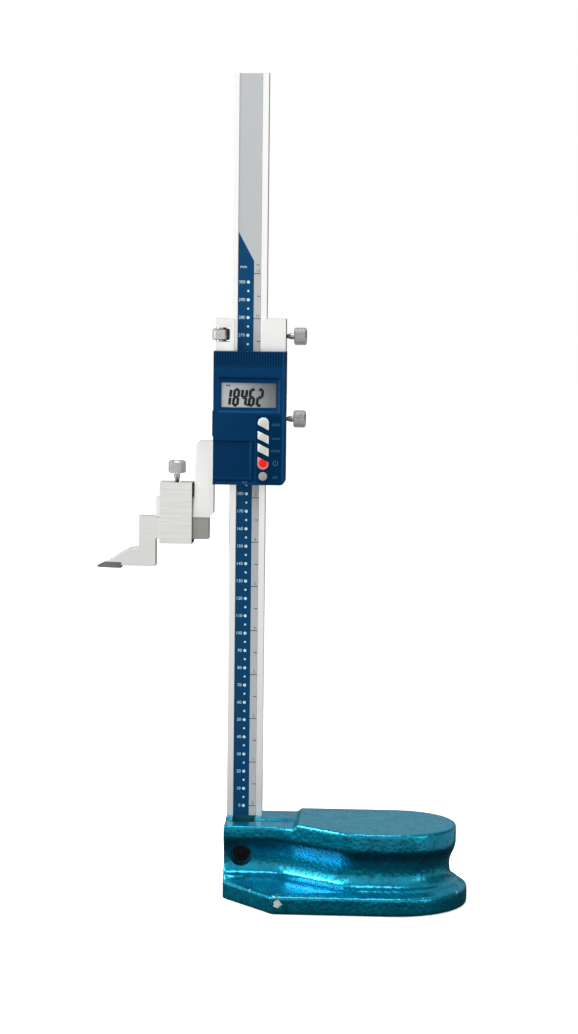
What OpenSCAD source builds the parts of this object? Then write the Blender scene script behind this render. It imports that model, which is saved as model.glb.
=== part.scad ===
// Digital height gauge: a slider with a display and a scriber runs on a column that stands in a cast base.
// The origin is on the sole, below the middle of the column. +X points along the base, away from the
// scriber, +Y away from the user and +Z up. All sizes are in millimetres.

/* [Reading] */
// Height of the scriber's edge above the table
reading = 184.62; // [3:0.01:297]

/* [Column] */
// Width of the column
beam_w = 20.5; // [19:0.5:21]
// Thickness of the column
beam_t = 6; // [5:0.5:6]
// Height of the column's top above the table
beam_top = 465; // [450:5:600]
// Width of the scale strip
strip_w = 12.8; // [10:0.2:13]
// Thickness of the grating laminate
grating_t = 1.0; // [0.8:0.1:1.2]
// Thickness of the printed film
overlay_t = 0.3; // [0.2:0.1:0.3]

/* [Base] */
// Thickness of the sole flange at its edge
flange_h = 10.2; // [8:0.2:12]
// Radius of the flange's round end
flange_r = 42.5; // [40:0.5:44]
// Radius of the platform's round end
slab_r = 35; // [32:0.5:36]
// Height of the platform's top
slab_top = 44.4; // [43:0.2:48]
// Height of the platform's lower edge
slab_under = 33.5; // [32:0.5:35]
// Height of the neck's top beside the column
neck_top = 42.4; // [42:0.2:43]
// How far the waist is set back from the platform
waist_inset = 4.5; // [3:0.5:6]
// Diameter of the counterbore for the clamp screw
counterbore_d = 12.4; // [11:0.2:13]

/* [Slider] */
// Distance from the column's middle to the slider's left side
slider_left = 18.4; // [17:0.1:19]
// Distance from the column's middle to the slider's right side
slider_right = 21.1; // [20:0.1:22]
// Depth of the slider in front of the column's middle
slider_front = 8; // [7.5:0.5:8]
// Height of the slider frame
slider_h = 65.5; // [64:0.5:66]
// Thickness of the plate behind the column
back_plate_t = 3; // [2:0.5:4]
// Clearance between the column and what slides on it
slide_gap = 0.05; // [0.03:0.01:0.08]
// Radius of the thumb screws' thread
lock_r = 1.95; // [1.5:0.05:1.95]
// Radius of a thumb screw's head
thumb_r = 4.95; // [4:0.05:5.5]
// Length of a thumb screw's head
thumb_h = 7; // [6:0.5:8]

/* [Display unit] */
// Width of the display housing
housing_w = 40.7; // [40:0.1:41.5]
// Height of the display housing
housing_h = 74.9; // [74:0.1:76]
// Depth of the display housing
housing_d = 13; // [12.5:0.5:14]
// Thickness of the housing's walls
wall = 2; // [1.6:0.1:2]
// Spacing of the grip ribs
rib_pitch = 1.5; // [1.4:0.1:2]
// Width of a key
key_w = 6.2; // [5.8:0.1:6.4]
// How far the keys stand out of the housing
key_proud = 0.8; // [0.5:0.1:1.2]

/* [Scriber] */
// Thickness of the scriber and of the bar that carries it
scriber_t = 9; // [8:0.5:9]
// Width of the clamp sleeve
sleeve_w = 18.8; // [16:0.2:20]
// Depth of the clamp sleeve
sleeve_d = 15; // [14:0.5:16]

/* [Hidden] */
$fn = 48;
eps = 0.01;

// Column: the slot in the base holds its foot, and the groove holds the scale
beam_x = beam_w / 2;
beam_y = beam_t / 2;
beam_foot = 12;
beam_chamfer = 0.35;
groove_x = strip_w / 2 + 0.2;
groove_depth = grating_t + overlay_t + 0.2;
groove_floor = groove_depth - beam_y;
strip_foot = 42.5;

// Base outline
base_left = -10.4;
foot_x = 85.5;
foot_y = -22.75;
slab_x = 86.5;
slab_y = -22;
foot_corner = [19, -30];
neck_front = -27;
neck_rear = 13;
step_x = 33;
flare_start = 22;
flare_end = 60;
ledge_y = -10;
ledge_top = neck_top - 1.2;
notch_x = 6.4;
notch_front = -15;
notch_floor = 33;
relief_r = 26;
relief_depth = 2;

// Clamp screw through the neck and the column, an M6 cap screw
clamp_x = -0.5;
clamp_z = 23.8;
m6_r = 3;
m6_clear_r = 3.3;
m6_head_r = 5;
m6_head_h = 6;
m6_seat = -12;
m6_tip = 10;
m6_key_r = 2.9;
m6_key_depth = 3;

// Slider: everything on it is placed from the housing's lower edge
index_z = reading + 49.98;
chan_x = beam_x + slide_gap;
chan_y = beam_y + slide_gap;
lip_x = 8.1;
frame_z = [1.4, 1.4 + slider_h];
window_z = [8, 60];
gib_x = chan_x + 1.05;
lock_z = 36.4;
gib_screw_z = [15.4, 54];
m3_r = 1.5;
gib_screw_end = 17;
shoe_end = chan_x + 2.7;
lock_bore_r = lock_r + 0.05;
stud_x = -15.9;
stud_z = [56, 88.9];
plate_y = [chan_y, chan_y + back_plate_t];
plate_screws = [[-14.2, 8], [-14.2, 38], [16.5, 28], [16.5, 46]];
plate_head_r = 2.8;
plate_head_h = 1.6;
plate_screw_tip = -4;

// Fine adjustment box and nut
fine_z = [70.4, 93];
fine_front = slider_front - 0.5;
fine_rear = 6;
fine_lock_z = 83.2;
nut_slot = [79.8, 87.9];
nut_z = [80.6, 87.0];
nut_r = 5;
nut_hub_r = 3;
stud_clear_r = 1.8;
stud_bore_top = 92.3;
nut_bore_r = m3_r + 0.05;

// Thumb screws: a neck of this length stands between the thread and the head
neck_len = 4.5;
neck_r = [1.2, 1.75];
thumb_bevel = 0.5;

// Arm and bar for the scriber
arm_left = -30.1;
arm_right = -19.2;
arm_top = 23.4;
bar_left = -52;
bar_z = [-20.3, -9];
arm_bevel = 2.5;

// Clamp sleeve
sleeve_x = -49.8;
sleeve_z = [-35.2, -0.4];
sleeve_open_z = [-32.75, -6];
sleeve_open_y = scriber_t / 2 + 0.1;
pad_z = [-8.95, -7.1];
pad_x = 5;
clamp_screw_x = sleeve_x + sleeve_w / 2;
clamp_neck_len = 5.1;

// Scriber
shank_x = [-52, -21.8];
shank_z = [-32.7, -20.6];
block_x = -62;
block_z = [-48.5, -20];
edge_z = -49.98;
toe_x = -85.7;
toe_end = 1.2;
tip_x = -71.8;
tip_top = -46.8;

// Display housing
house_x = [-18.6, housing_w - 18.6];
house_y = [-slider_front - housing_d, -slider_front];
cavity_x = [house_x[0] + wall, house_x[1] - wall];
cavity_z = [wall, 62];
skin = house_y[0] + wall;
corner_r = 3;
rib_z = 65.9;
rib_x = [-18.1, 19.4];
rib_depth = 0.6;
bezel_x = [-16.1, 18.9];
bezel_z = [40.5, 60.4];
bezel_depth = 1;
bezel_slope = 1.1;
edge_cut = [1.7, 0.9];
glass_x = [-14.1, 16.7];
glass_z = [43.5, 57.3];
lcd_x = [-15.8, 18.6];
lcd_z = [42, 58.8];
lcd_t = 2.5;
zebra_w = 2;
boss_at = [[-14.6, 52.4], [18, 59.9], [18, 4.1]];
boss_r = 2.3;
boss_top = -15;
m25_r = 1.2;
m25_clear_r = 1.4;
m25_head_r = 2.4;
m25_head_h = 1.5;
m25_seat_r = 2.6;

// Circuit board, sensor and what stands on them
board_x = [-15.6, 19.4];
board_z = [2.4, 61.6];
board_y = [-slider_front - 1.6, -slider_front];
sensor_x = 7.9;
sensor_z = [9, 59];
sensor_gap = 0.35;

// Keys: kind, position of the shape's centre
KEYS = [["drop_up", 9.75, 35.0], ["slant", 9.75, 26.9], ["slant", 9.75, 19.9],
        ["drop_down", 9.75, 11.9], ["round", 9.75, 5.0]];
key_gap = 0.15;
key_lip = 0.6;
key_back = -13;
key_lip_y = [skin + 0.2, skin + 1];
film_x = [5.8, 19.9];
film_z = [0.7, 39.2];
film_t = 0.3;
membrane_x = [6.4, 13.1];
membrane_z = [2.4, 38.4];
membrane_y = [-12.2, board_y[0]];
key_colours = ["gainsboro", "gainsboro", "gainsboro", "red", "darkgray"];

// Battery and its cover
cover_x = [house_x[0], 4.5];
cover_z = [2, 24.8];
cover_gap = 0.15;
cover_back = skin + 0.95;
tongue = 0.8;
cover_recess = 0.8;
cover_lip = 1.3;
cover_slope = 1.1;
cell_x = -5.8;
cell_z = 13.4;
cell_r = 10;
cell_y = [-17.3, -14.1];
tray_x = [-16.4, 5];
tray_z = [2.2, 24.6];
tray_y = [-17.6, board_y[0]];
contact_t = 0.2;
contact_r = 5;
side_contact = [4, 0.5];

// Data port
port_z = [27, 41.4];
port_y = [-17.5, -10.5];
port_flange = 0.7;
port_rim = 1;

// A block between two corners, given as a range along each axis
module span(x, y, z) {
    translate([x[0], y[0], z[0]]) cube([x[1] - x[0], y[1] - y[0], z[1] - z[0]]);
}

// A round bar along X, from x[0] to x[1]
module rod_x(x, y, z, r) {
    translate([x[0], y, z]) rotate([0, 90, 0]) cylinder(r = r, h = x[1] - x[0]);
}

// A round bar along Y, from y[0] to y[1]
module rod_y(x, y, z, r) {
    translate([x, y[0], z]) rotate([-90, 0, 0]) cylinder(r = r, h = y[1] - y[0]);
}

// A round bar along Z, from z[0] to z[1]
module rod_z(x, y, z, r) {
    translate([x, y, z[0]]) cylinder(r = r, h = z[1] - z[0]);
}

// A flat shape drawn in X and Z, made solid from y[0] to y[1]
module upright(y) {
    translate([0, y[1], 0]) rotate([90, 0, 0]) linear_extrude(y[1] - y[0]) children();
}

// What rides on the slider is drawn from the housing's lower edge
module on_slider() {
    translate([0, 0, index_z]) children();
}

// Flange outline: straight rear, angled front corner and a round end, set back by inset
module foot_outline(inset = 0) {
    r = flange_r - inset;
    union() {
        translate([foot_x, foot_y]) circle(r = r, $fn = 96);
        polygon([[base_left, foot_y + r], [foot_x, foot_y + r], [foot_x, foot_y - r],
                 [foot_corner[0] + inset / 2, foot_y - r], [base_left, foot_corner[1] + inset]]);
    }
}

// Platform and neck outline, with the flare between them, set back by inset except at the column's end
module neck_outline(inset = 0) {
    r = slab_r - inset;
    union() {
        translate([slab_x, slab_y]) circle(r = r, $fn = 96);
        polygon([[base_left, neck_rear - inset], [slab_x, neck_rear - inset], [slab_x, slab_y - r],
                 [flare_end, slab_y - r], [flare_start, neck_front + inset],
                 [base_left, neck_front + inset]]);
    }
}

// One layer of the casting between two heights
module layer(z0, z1) {
    translate([0, 0, z0]) linear_extrude(z1 - z0) children();
}

// Slot for the column, notch in front of the scale and seats for the clamp screw
module column_slot() {
    span([base_left - 1, beam_x + slide_gap], [-beam_y, beam_y], [beam_foot, slab_top + 1]);
    span([-notch_x, notch_x], [notch_front, -beam_y + eps], [notch_floor, slab_top + 1]);
    rod_y(clamp_x, [foot_y - flange_r, m6_seat], clamp_z, counterbore_d / 2);
    rod_y(clamp_x, [m6_seat - eps, 0], clamp_z, m6_clear_r);
    rod_y(clamp_x, [0, m6_tip + 1], clamp_z, m6_r);
}

module base_casting() {
    color([0.0, 0.42, 0.52]) difference() {
        union() {
            layer(0, flange_h) foot_outline();
            layer(flange_h, flange_h + 2.4) foot_outline(3.5);
            layer(flange_h + 2.4, flange_h + 4.8) foot_outline(7);
            layer(flange_h + 4.8, slab_under) neck_outline(waist_inset);
            layer(slab_under, ledge_top) neck_outline();
            layer(ledge_top, neck_top) intersection() {
                neck_outline();
                translate([base_left, ledge_y]) square([slab_x, 2 * slab_r]);
            }
            layer(ledge_top, slab_top) intersection() {
                neck_outline();
                translate([step_x, -2 * slab_r]) square([3 * slab_r, 3 * slab_r]);
            }
        }
        column_slot();
        rod_z(foot_x, foot_y, [-1, relief_depth], relief_r);
    }
}

// Cap screw with a hexagon socket
module beam_clamp_screw() {
    color([0.12, 0.12, 0.13]) difference() {
        union() {
            rod_y(clamp_x, [m6_seat - m6_head_h, m6_seat], clamp_z, m6_head_r);
            rod_y(clamp_x, [m6_seat - eps, m6_tip], clamp_z, m6_r);
        }
        translate([clamp_x, m6_seat - m6_head_h - 1, clamp_z]) rotate([-90, 0, 0])
            cylinder(r = m6_key_r, h = m6_key_depth + 1, $fn = 6);
    }
}

// Ground steel beam: chamfered edges, a groove for the scale and the clamp screw's hole
module column_beam() {
    c = beam_chamfer;
    color([0.82, 0.82, 0.80]) difference() {
        translate([0, 0, beam_foot]) linear_extrude(beam_top - beam_foot)
            polygon([[-beam_x + c, -beam_y], [-groove_x, -beam_y], [-groove_x, groove_floor],
                     [groove_x, groove_floor], [groove_x, -beam_y], [beam_x - c, -beam_y],
                     [beam_x, -beam_y + c], [beam_x, beam_y - c], [beam_x - c, beam_y],
                     [-beam_x + c, beam_y], [-beam_x, beam_y - c], [-beam_x, -beam_y + c]]);
        rod_y(clamp_x, [-beam_t, beam_t], clamp_z, m6_clear_r);
    }
}

module scale_grating() {
    y = [groove_floor - grating_t, groove_floor];
    color([0.55, 0.45, 0.25]) span([-strip_w / 2, strip_w / 2], y, [strip_foot, beam_top - 0.3]);
}

module scale_overlay() {
    back = groove_floor - grating_t;
    color([0.05, 0.28, 0.45])
        span([-strip_w / 2, strip_w / 2], [back - overlay_t, back], [strip_foot, beam_top - 0.3]);
}

// Channel round the column's edges, open in front between the lips
module channel_cut(z) {
    span([-chan_x, chan_x], [-chan_y, chan_y], z);
    span([-lip_x, lip_x], [-slider_front - 1, 0], z);
}

module fine_adjust_box() {
    cut_z = [fine_z[0] - 1, fine_z[1] + 1];
    color([0.80, 0.80, 0.78]) on_slider() difference() {
        span([-slider_left, slider_right], [-fine_front, fine_rear], fine_z);
        channel_cut(cut_z);
        span([-slider_left - 1, -chan_x + eps], [-fine_front - 1, fine_rear + 1], nut_slot);
        rod_z(stud_x, 0, [fine_z[0] - 1, nut_slot[0] + 1], stud_clear_r);
        rod_z(stud_x, 0, [nut_slot[1] - 1, stud_bore_top], stud_clear_r);
        rod_x([chan_x - 1, slider_right + 1], 0, fine_lock_z, lock_bore_r);
    }
}

// Knurled nut with a short hub on each face
module fine_adjust_nut() {
    color([0.72, 0.72, 0.70]) on_slider() difference() {
        union() {
            rod_z(stud_x, 0, nut_z, nut_r);
            rod_z(stud_x, 0, [nut_slot[0] + 0.1, nut_slot[1] - 0.1], nut_hub_r);
        }
        rod_z(stud_x, 0, [nut_slot[0] - 1, nut_slot[1] + 1], nut_bore_r);
    }
}

// Threaded stud, fixed in the slider frame
module fine_adjust_stud() {
    color([0.6, 0.6, 0.6]) on_slider() rod_z(stud_x, 0, stud_z, m3_r);
}

// Thumb screw along +Z: thread from 0, then a waisted neck, then the knurled head
module thumb_screw(thread_len, neck) {
    head_z = thread_len + neck;
    rotate_extrude()
        polygon([[0, 0], [lock_r - 0.3, 0], [lock_r, 0.3], [lock_r, thread_len - 0.6],
                 [neck_r[0], thread_len - 0.2], [neck_r[0], thread_len + neck * 0.25],
                 [neck_r[1], thread_len + neck * 0.5], [neck_r[1], head_z],
                 [thumb_r - thumb_bevel, head_z], [thumb_r, head_z + thumb_bevel],
                 [thumb_r, head_z + thumb_h - thumb_bevel],
                 [thumb_r - thumb_bevel, head_z + thumb_h], [0, head_z + thumb_h]]);
}

// Thumb screw in the slider's right side, at height z, with its tip on the brass shoe
module lock_screw(z) {
    start = shoe_end + slide_gap;
    color([0.72, 0.72, 0.70]) on_slider() translate([start, 0, z]) rotate([0, 90, 0])
        thumb_screw(slider_right - start, neck_len);
}

// Brass shoe between a lock screw and the column's edge
module lock_shoe(z) {
    color([0.75, 0.6, 0.3]) on_slider() rod_x([chan_x, shoe_end], 0, z, lock_r);
}

module fine_lock_screw() {
    lock_screw(fine_lock_z);
}

module fine_lock_shoe() {
    lock_shoe(fine_lock_z);
}

module slider_lock_screw() {
    lock_screw(lock_z);
}

module slider_lock_shoe() {
    lock_shoe(lock_z);
}

// Steel frame: a channel with a window for the sensor, in one piece with the arm and the scriber bar
module slider_frame() {
    full_z = [frame_z[0] - 1, frame_z[1] + 1];
    color([0.80, 0.80, 0.78]) on_slider() difference() {
        union() {
            span([-slider_left, slider_right], [-slider_front, chan_y], frame_z);
            upright([-scriber_t / 2, scriber_t / 2]) arm_outline();
        }
        span([-chan_x, gib_x], [-chan_y, chan_y + 1], full_z);
        span([-lip_x, lip_x], [-slider_front - 1, 0], window_z);
        span([-slider_left, slider_right], [chan_y, scriber_t], full_z);
        rod_x([gib_x - 1, slider_right + 1], 0, lock_z, lock_bore_r);
        for (z = gib_screw_z) rod_x([gib_x - 1, slider_right + 1], 0, z, m3_r);
        for (p = plate_screws) rod_y(p[0], [plate_screw_tip, chan_y + 1], p[1], m3_r);
        for (p = boss_at) rod_y(p[0], [-slider_front - 1, chan_y + 1], p[1], m25_clear_r);
        rod_z(stud_x, 0, [stud_z[0], full_z[1]], m3_r);
    }
}

// Outline of the arm and the bar, as seen from the front
module arm_outline() {
    b = arm_bevel;
    polygon([[bar_left, bar_z[0]], [arm_right - b, bar_z[0]], [arm_right, bar_z[0] + b],
             [arm_right, frame_z[0]], [1 - slider_left, frame_z[0]], [1 - slider_left, arm_top],
             [arm_left + b, arm_top], [arm_left, arm_top - b], [arm_left, bar_z[1]],
             [bar_left, bar_z[1]]]);
}

module slider_back_plate() {
    out = [plate_y[0] - 1, plate_y[1] + 1];
    color([0.74, 0.74, 0.73]) on_slider() difference() {
        span([-slider_left, slider_right], plate_y, frame_z);
        for (p = plate_screws) {
            rod_y(p[0], out, p[1], m3_r);
            rod_y(p[0], [plate_y[1] - plate_head_h, out[1]], p[1], plate_head_r);
        }
        for (p = boss_at) {
            rod_y(p[0], out, p[1], m25_clear_r);
            rod_y(p[0], [plate_y[1] - m25_head_h - 0.1, out[1]], p[1], m25_seat_r);
        }
    }
}

// Screw along -Y with a flat head and a slot for the driver
module plate_screw(head_r, head_h, r, tip, slot_w) {
    head = [plate_y[1] - head_h, plate_y[1] - 0.05];
    difference() {
        union() {
            rod_y(0, head, 0, head_r - 0.05);
            rod_y(0, [tip, head[0] + eps], 0, r);
        }
        span([-head_r, head_r], [head[1] - head_h / 2, head[1] + 1], [-slot_w / 2, slot_w / 2]);
    }
}

module back_plate_screws() {
    color([0.6, 0.6, 0.62]) on_slider() for (p = plate_screws)
        translate([p[0], 0, p[1]]) plate_screw(plate_head_r, plate_head_h, m3_r, plate_screw_tip, 0.7);
}

module housing_screws() {
    color([0.6, 0.6, 0.62]) on_slider() for (p = boss_at)
        translate([p[0], 0, p[1]]) plate_screw(m25_head_r, m25_head_h, m25_r, boss_top + 1, 0.6);
}

// Brass strip between the column's right edge and the frame
module slider_gib() {
    color([0.75, 0.6, 0.3]) on_slider() difference() {
        span([chan_x, gib_x], [0.1 - chan_y, chan_y - 0.1], [frame_z[0] + 1, frame_z[1] - 1]);
        rod_x([0, slider_right], 0, lock_z, lock_r + 0.1);
    }
}

module gib_set_screws() {
    color([0.2, 0.2, 0.22]) on_slider() for (z = gib_screw_z) difference() {
        rod_x([gib_x, gib_screw_end], 0, z, m3_r);
        translate([gib_screw_end - 1.5, 0, z]) rotate([0, 90, 0]) cylinder(r = 0.85, h = 2, $fn = 6);
    }
}

// Housing seen from the front: square corners and one rounded corner
module housing_outline() {
    union() {
        translate([house_x[1] - corner_r, corner_r]) circle(r = corner_r);
        polygon([[house_x[0], 0], [house_x[1] - corner_r, 0], [house_x[1], corner_r],
                 [house_x[1], housing_h], [house_x[0], housing_h]]);
    }
}

// Outline of a key, grown by g all round
module key_shape(kind, g = 0) {
    w = key_w / 2 + g;
    if (kind == "round") circle(r = key_w * 0.39 + g);
    if (kind == "slant") polygon([[-w, 3.7 + g], [w, 0.7 + g], [w, -3.7 - g], [-w, -0.7 - g]]);
    if (kind == "drop_up") half_round(w, 1);
    if (kind == "drop_up") polygon([[-w, eps], [w, eps], [w, -4.1 - g], [-w, -1.0 - g]]);
    if (kind == "drop_down") half_round(w, -1);
    if (kind == "drop_down") polygon([[-w, -eps], [w, -eps], [w, 1.0 + g], [-w, 4.2 + g]]);
}

// Upper (side 1) or lower (side -1) half of a disc
module half_round(r, side) {
    intersection() {
        circle(r = r);
        translate([-2 * r, side > 0 ? 0 : -2 * r]) square([4 * r, 2 * r]);
    }
}

// Solid of one key's outline between two depths
module key_solid(k, g, y) {
    translate([k[1], 0, k[2]]) upright(y) key_shape(k[0], g);
}

module display_housing() {
    front = house_y[0];
    color([0.05, 0.22, 0.42]) on_slider() difference() {
        union() {
            difference() {
                upright(house_y) housing_outline();
                span(cavity_x, [skin, house_y[1] + 1], cavity_z);
            }
            for (p = boss_at) rod_y(p[0], [boss_top, house_y[1]], p[1], boss_r);
        }
        for (p = boss_at) rod_y(p[0], [boss_top + 1, house_y[1] + 1], p[1], m25_r);
        grip_grooves();
        dish(bezel_x, bezel_z, bezel_depth, bezel_slope);
        edge_bevel();
        span(glass_x, [front - 1, skin + 1], glass_z);
        span(film_x, [front - 1, front + film_t], film_z);
        for (k = KEYS) key_solid(k, key_gap, [front - 1, skin + 1]);
        span([house_x[0] - 1, cover_x[1]], [front - 1, skin + 1.1], cover_z);
        span([house_x[0] - 1, cover_x[1] + tongue], [skin, skin + 1.1],
             [cover_z[0] - tongue, cover_z[1] + tongue]);
        span([house_x[0] - 1, cavity_x[0] + 1], port_y, port_z);
    }
}

// Recess in the housing's front, with walls that slope in towards its floor
module dish(x, z, depth, slope) {
    front = house_y[0];
    intersection() {
        translate([0, 0, z[0]]) linear_extrude(z[1] - z[0])
            polygon([[x[0], front - 1], [x[1], front - 1], [x[1], front],
                     [x[1] - slope, front + depth], [x[0] + slope, front + depth], [x[0], front]]);
        translate([x[0], 0, 0]) rotate([90, 0, 90]) linear_extrude(x[1] - x[0])
            polygon([[front - 1, z[0]], [front, z[0]], [front + depth, z[0] + slope],
                     [front + depth, z[1] - slope], [front, z[1]], [front - 1, z[1]]]);
    }
}

// Slope down the housing's right front edge
module edge_bevel() {
    translate([0, 0, -1]) linear_extrude(housing_h + 2)
        polygon([[house_x[1] - edge_cut[0], house_y[0]], [house_x[1] + 1, house_y[0] - 1],
                 [house_x[1] + 1, house_y[0] + edge_cut[1]], [house_x[1], house_y[0] + edge_cut[1]]]);
}

// Row of shallow upright grooves across the top of the housing
module grip_grooves() {
    count = floor((rib_x[1] - rib_x[0]) / rib_pitch);
    for (i = [0:count]) {
        x = rib_x[0] + i * rib_pitch;
        span([x - rib_pitch / 4, x + rib_pitch / 4], [house_y[0] - 1, house_y[0] + rib_depth],
             [rib_z, housing_h + 1]);
    }
}

module display_window() {
    x = [glass_x[0] + 0.1, glass_x[1] - 0.1];
    z = [glass_z[0] + 0.1, glass_z[1] - 0.1];
    color([0.85, 0.9, 0.9, 0.3]) on_slider() span(x, [house_y[0] + bezel_depth, skin - 0.1], z);
}

module lcd_panel() {
    color([0.66, 0.68, 0.66]) on_slider() span(lcd_x, [skin, skin + lcd_t], lcd_z);
}

// Elastomer strips that join the display's contacts to the board
module zebra_strips() {
    y = [skin + lcd_t, board_y[0]];
    color([0.3, 0.3, 0.32]) on_slider() for (z = [lcd_z[0], lcd_z[1] - zebra_w])
        span([lcd_x[0] + 4.5, lcd_x[1] - 4.5], y, [z, z + zebra_w]);
}

module circuit_board() {
    color([0.08, 0.35, 0.2]) on_slider() difference() {
        span(board_x, board_y, board_z);
        for (p = boss_at) rod_y(p[0], [board_y[0] - 1, board_y[1] + 1], p[1], boss_r + 0.3);
    }
}

// Block that holds the reading electrodes close to the scale
module sensor_block() {
    y = [-slider_front, sensor_gap - beam_y + 0.2 - 2 * sensor_gap];
    color([0.15, 0.15, 0.16]) on_slider() span([-sensor_x, sensor_x], y, sensor_z);
}

// Rubber mat with a dome under each key
module key_membrane() {
    color([0.75, 0.75, 0.72]) on_slider() union() {
        span(membrane_x, [membrane_y[0] + 1, membrane_y[1]], membrane_z);
        for (k = KEYS) rod_y(k[1], [membrane_y[0], membrane_y[1]], k[2], 2);
    }
}

module keypad_overlay() {
    y = [house_y[0], house_y[0] + film_t];
    color([0.03, 0.12, 0.27]) on_slider() difference() {
        span(film_x, y, film_z);
        for (k = KEYS) key_solid(k, key_gap, [y[0] - 1, y[1] + 1]);
    }
}

// Key cap: its lip is wider than the hole and keeps it in the housing
module key_cap(i) {
    k = KEYS[i];
    color(key_colours[i]) on_slider() union() {
        key_solid(k, 0, [house_y[0] - key_proud, key_back]);
        key_solid(k, key_lip, key_lip_y);
    }
}

module key_zero() {
    key_cap(0);
}

module key_unit() {
    key_cap(1);
}

module key_hold() {
    key_cap(2);
}

module key_power() {
    key_cap(3);
}

module key_set() {
    key_cap(4);
}

// Sliding cover: tongues along both edges run behind the housing's front wall
module battery_cover() {
    g = cover_gap;
    x = [cover_x[0], cover_x[1] - g];
    z = [cover_z[0] + g, cover_z[1] - g];
    color([0.05, 0.22, 0.42]) on_slider() difference() {
        union() {
            span(x, [house_y[0], cover_back], z);
            span([x[0], x[1] + tongue], [skin + g, cover_back], [z[0] - tongue, z[1] + tongue]);
        }
        dish([x[0] - 3, x[1] - cover_lip], [z[0] + cover_lip, z[1] + 3], cover_recess, cover_slope);
    }
}

module battery_tray() {
    color([0.1, 0.1, 0.11]) on_slider() difference() {
        span(tray_x, tray_y, tray_z);
        rod_y(cell_x, [tray_y[0] - 1, cell_y[1] + contact_t], cell_z, cell_r + 0.15);
        span([cell_x - side_contact[0] / 2, cell_x + side_contact[0] / 2],
             [tray_y[0] - 1, tray_y[1] + 1], [cell_z, cell_z + cell_r + 0.1 + side_contact[1]]);
    }
}

module battery() {
    color([0.8, 0.8, 0.82]) on_slider() union() {
        rod_y(cell_x, [cell_y[0], cell_y[1] - 0.4], cell_z, cell_r);
        rod_y(cell_x, cell_y, cell_z, cell_r - 1);
    }
}

// Round contact below the cell and a side contact on its rim
module battery_contacts() {
    w = side_contact[0] / 2 - 0.1;
    rim_z = cell_z + cell_r + 0.05;
    color([0.8, 0.7, 0.4]) on_slider() {
        rod_y(cell_x, [cell_y[1], cell_y[1] + contact_t], cell_z - 4, contact_r / 2);
        span([cell_x - w, cell_x + w], [cell_y[0], board_y[0]], [rim_z, rim_z + side_contact[1]]);
    }
}

// Cover that plugs the data port in the left wall
module data_port_cover() {
    g = 0.1;
    color([0.05, 0.22, 0.42]) on_slider() union() {
        span([house_x[0] - port_flange, house_x[0] - 0.05], [port_y[0] - port_rim, port_y[1] + port_rim],
             port_z);
        span([house_x[0] - 0.06, cavity_x[0] + 0.1], [port_y[0] + g, port_y[1] - g],
             [port_z[0] + port_rim, port_z[1] - port_rim]);
    }
}

module data_socket() {
    color([0.12, 0.12, 0.13]) on_slider() difference() {
        span([cavity_x[0] + 0.4, cavity_x[0] + 4.2], [port_y[0] + 0.5, board_y[0]],
             [port_z[0] + 1.5, port_z[1] - 1.5]);
        span([cavity_x[0] - 1, cavity_x[0] + 3], [port_y[0] + 1.5, port_y[1] - 1],
             [port_z[0] + 2.5, port_z[1] - 2.5]);
    }
}

// Sleeve round the bar and the scriber's shank
module scriber_clamp() {
    color([0.80, 0.80, 0.78]) on_slider() difference() {
        span([sleeve_x, sleeve_x + sleeve_w], [-sleeve_d / 2, sleeve_d / 2], sleeve_z);
        span([sleeve_x - 1, sleeve_x + sleeve_w + 1], [-sleeve_open_y, sleeve_open_y], sleeve_open_z);
        rod_z(clamp_screw_x, 0, [sleeve_open_z[1] - 1, sleeve_z[1] + 1], lock_bore_r);
    }
}

module clamp_pad() {
    y = scriber_t / 2 - 0.1;
    color([0.75, 0.6, 0.3]) on_slider()
        span([clamp_screw_x - pad_x, clamp_screw_x + pad_x], [-y, y], pad_z);
}

module clamp_screw() {
    start = pad_z[1] + slide_gap;
    color([0.72, 0.72, 0.70]) on_slider() translate([clamp_screw_x, 0, start])
        thumb_screw(sleeve_z[1] - start, clamp_neck_len);
}

// Toe of the scriber, narrowed to its edge in plan
module toe_plan() {
    y = scriber_t / 2;
    translate([0, 0, edge_z - 1]) linear_extrude(block_z[1] - edge_z + 2)
        polygon([[shank_x[1] + 1, -y], [shank_x[1] + 1, y], [tip_x - 3, y], [toe_x, toe_end],
                 [toe_x, -toe_end], [tip_x - 3, -y]]);
}

module scriber_body() {
    color([0.80, 0.80, 0.78]) on_slider() intersection() {
        upright([-scriber_t / 2, scriber_t / 2])
            polygon([[shank_x[1], shank_z[0]], [shank_x[1], shank_z[1]], [shank_x[0], shank_z[1]],
                     [shank_x[0], block_z[1]], [block_x, block_z[1]], [block_x, -37.8],
                     [-67.6, -38.8], [-81.6, -46.3], [-81.6, tip_top], [tip_x, tip_top],
                     [tip_x, block_z[0]], [shank_x[0], block_z[0]], [shank_x[0], shank_z[0]]]);
        toe_plan();
    }
}

module carbide_tip() {
    color([0.35, 0.35, 0.36]) on_slider() intersection() {
        upright([-scriber_t / 2, scriber_t / 2])
            polygon([[toe_x, edge_z], [toe_x, -48.9], [-81.6, tip_top], [tip_x, tip_top],
                     [tip_x, edge_z]]);
        toe_plan();
    }
}

base_casting();
beam_clamp_screw();
column_beam();
scale_grating();
scale_overlay();
fine_adjust_box();
fine_adjust_nut();
fine_lock_shoe();
fine_lock_screw();
slider_frame();
slider_back_plate();
back_plate_screws();
slider_gib();
gib_set_screws();
fine_adjust_stud();
slider_lock_shoe();
slider_lock_screw();
display_housing();
housing_screws();
display_window();
lcd_panel();
zebra_strips();
circuit_board();
sensor_block();
key_membrane();
keypad_overlay();
key_zero();
key_unit();
key_hold();
key_power();
key_set();
battery_cover();
battery_tray();
battery();
battery_contacts();
data_port_cover();
data_socket();
scriber_clamp();
clamp_pad();
clamp_screw();
scriber_body();
carbide_tip();
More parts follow.
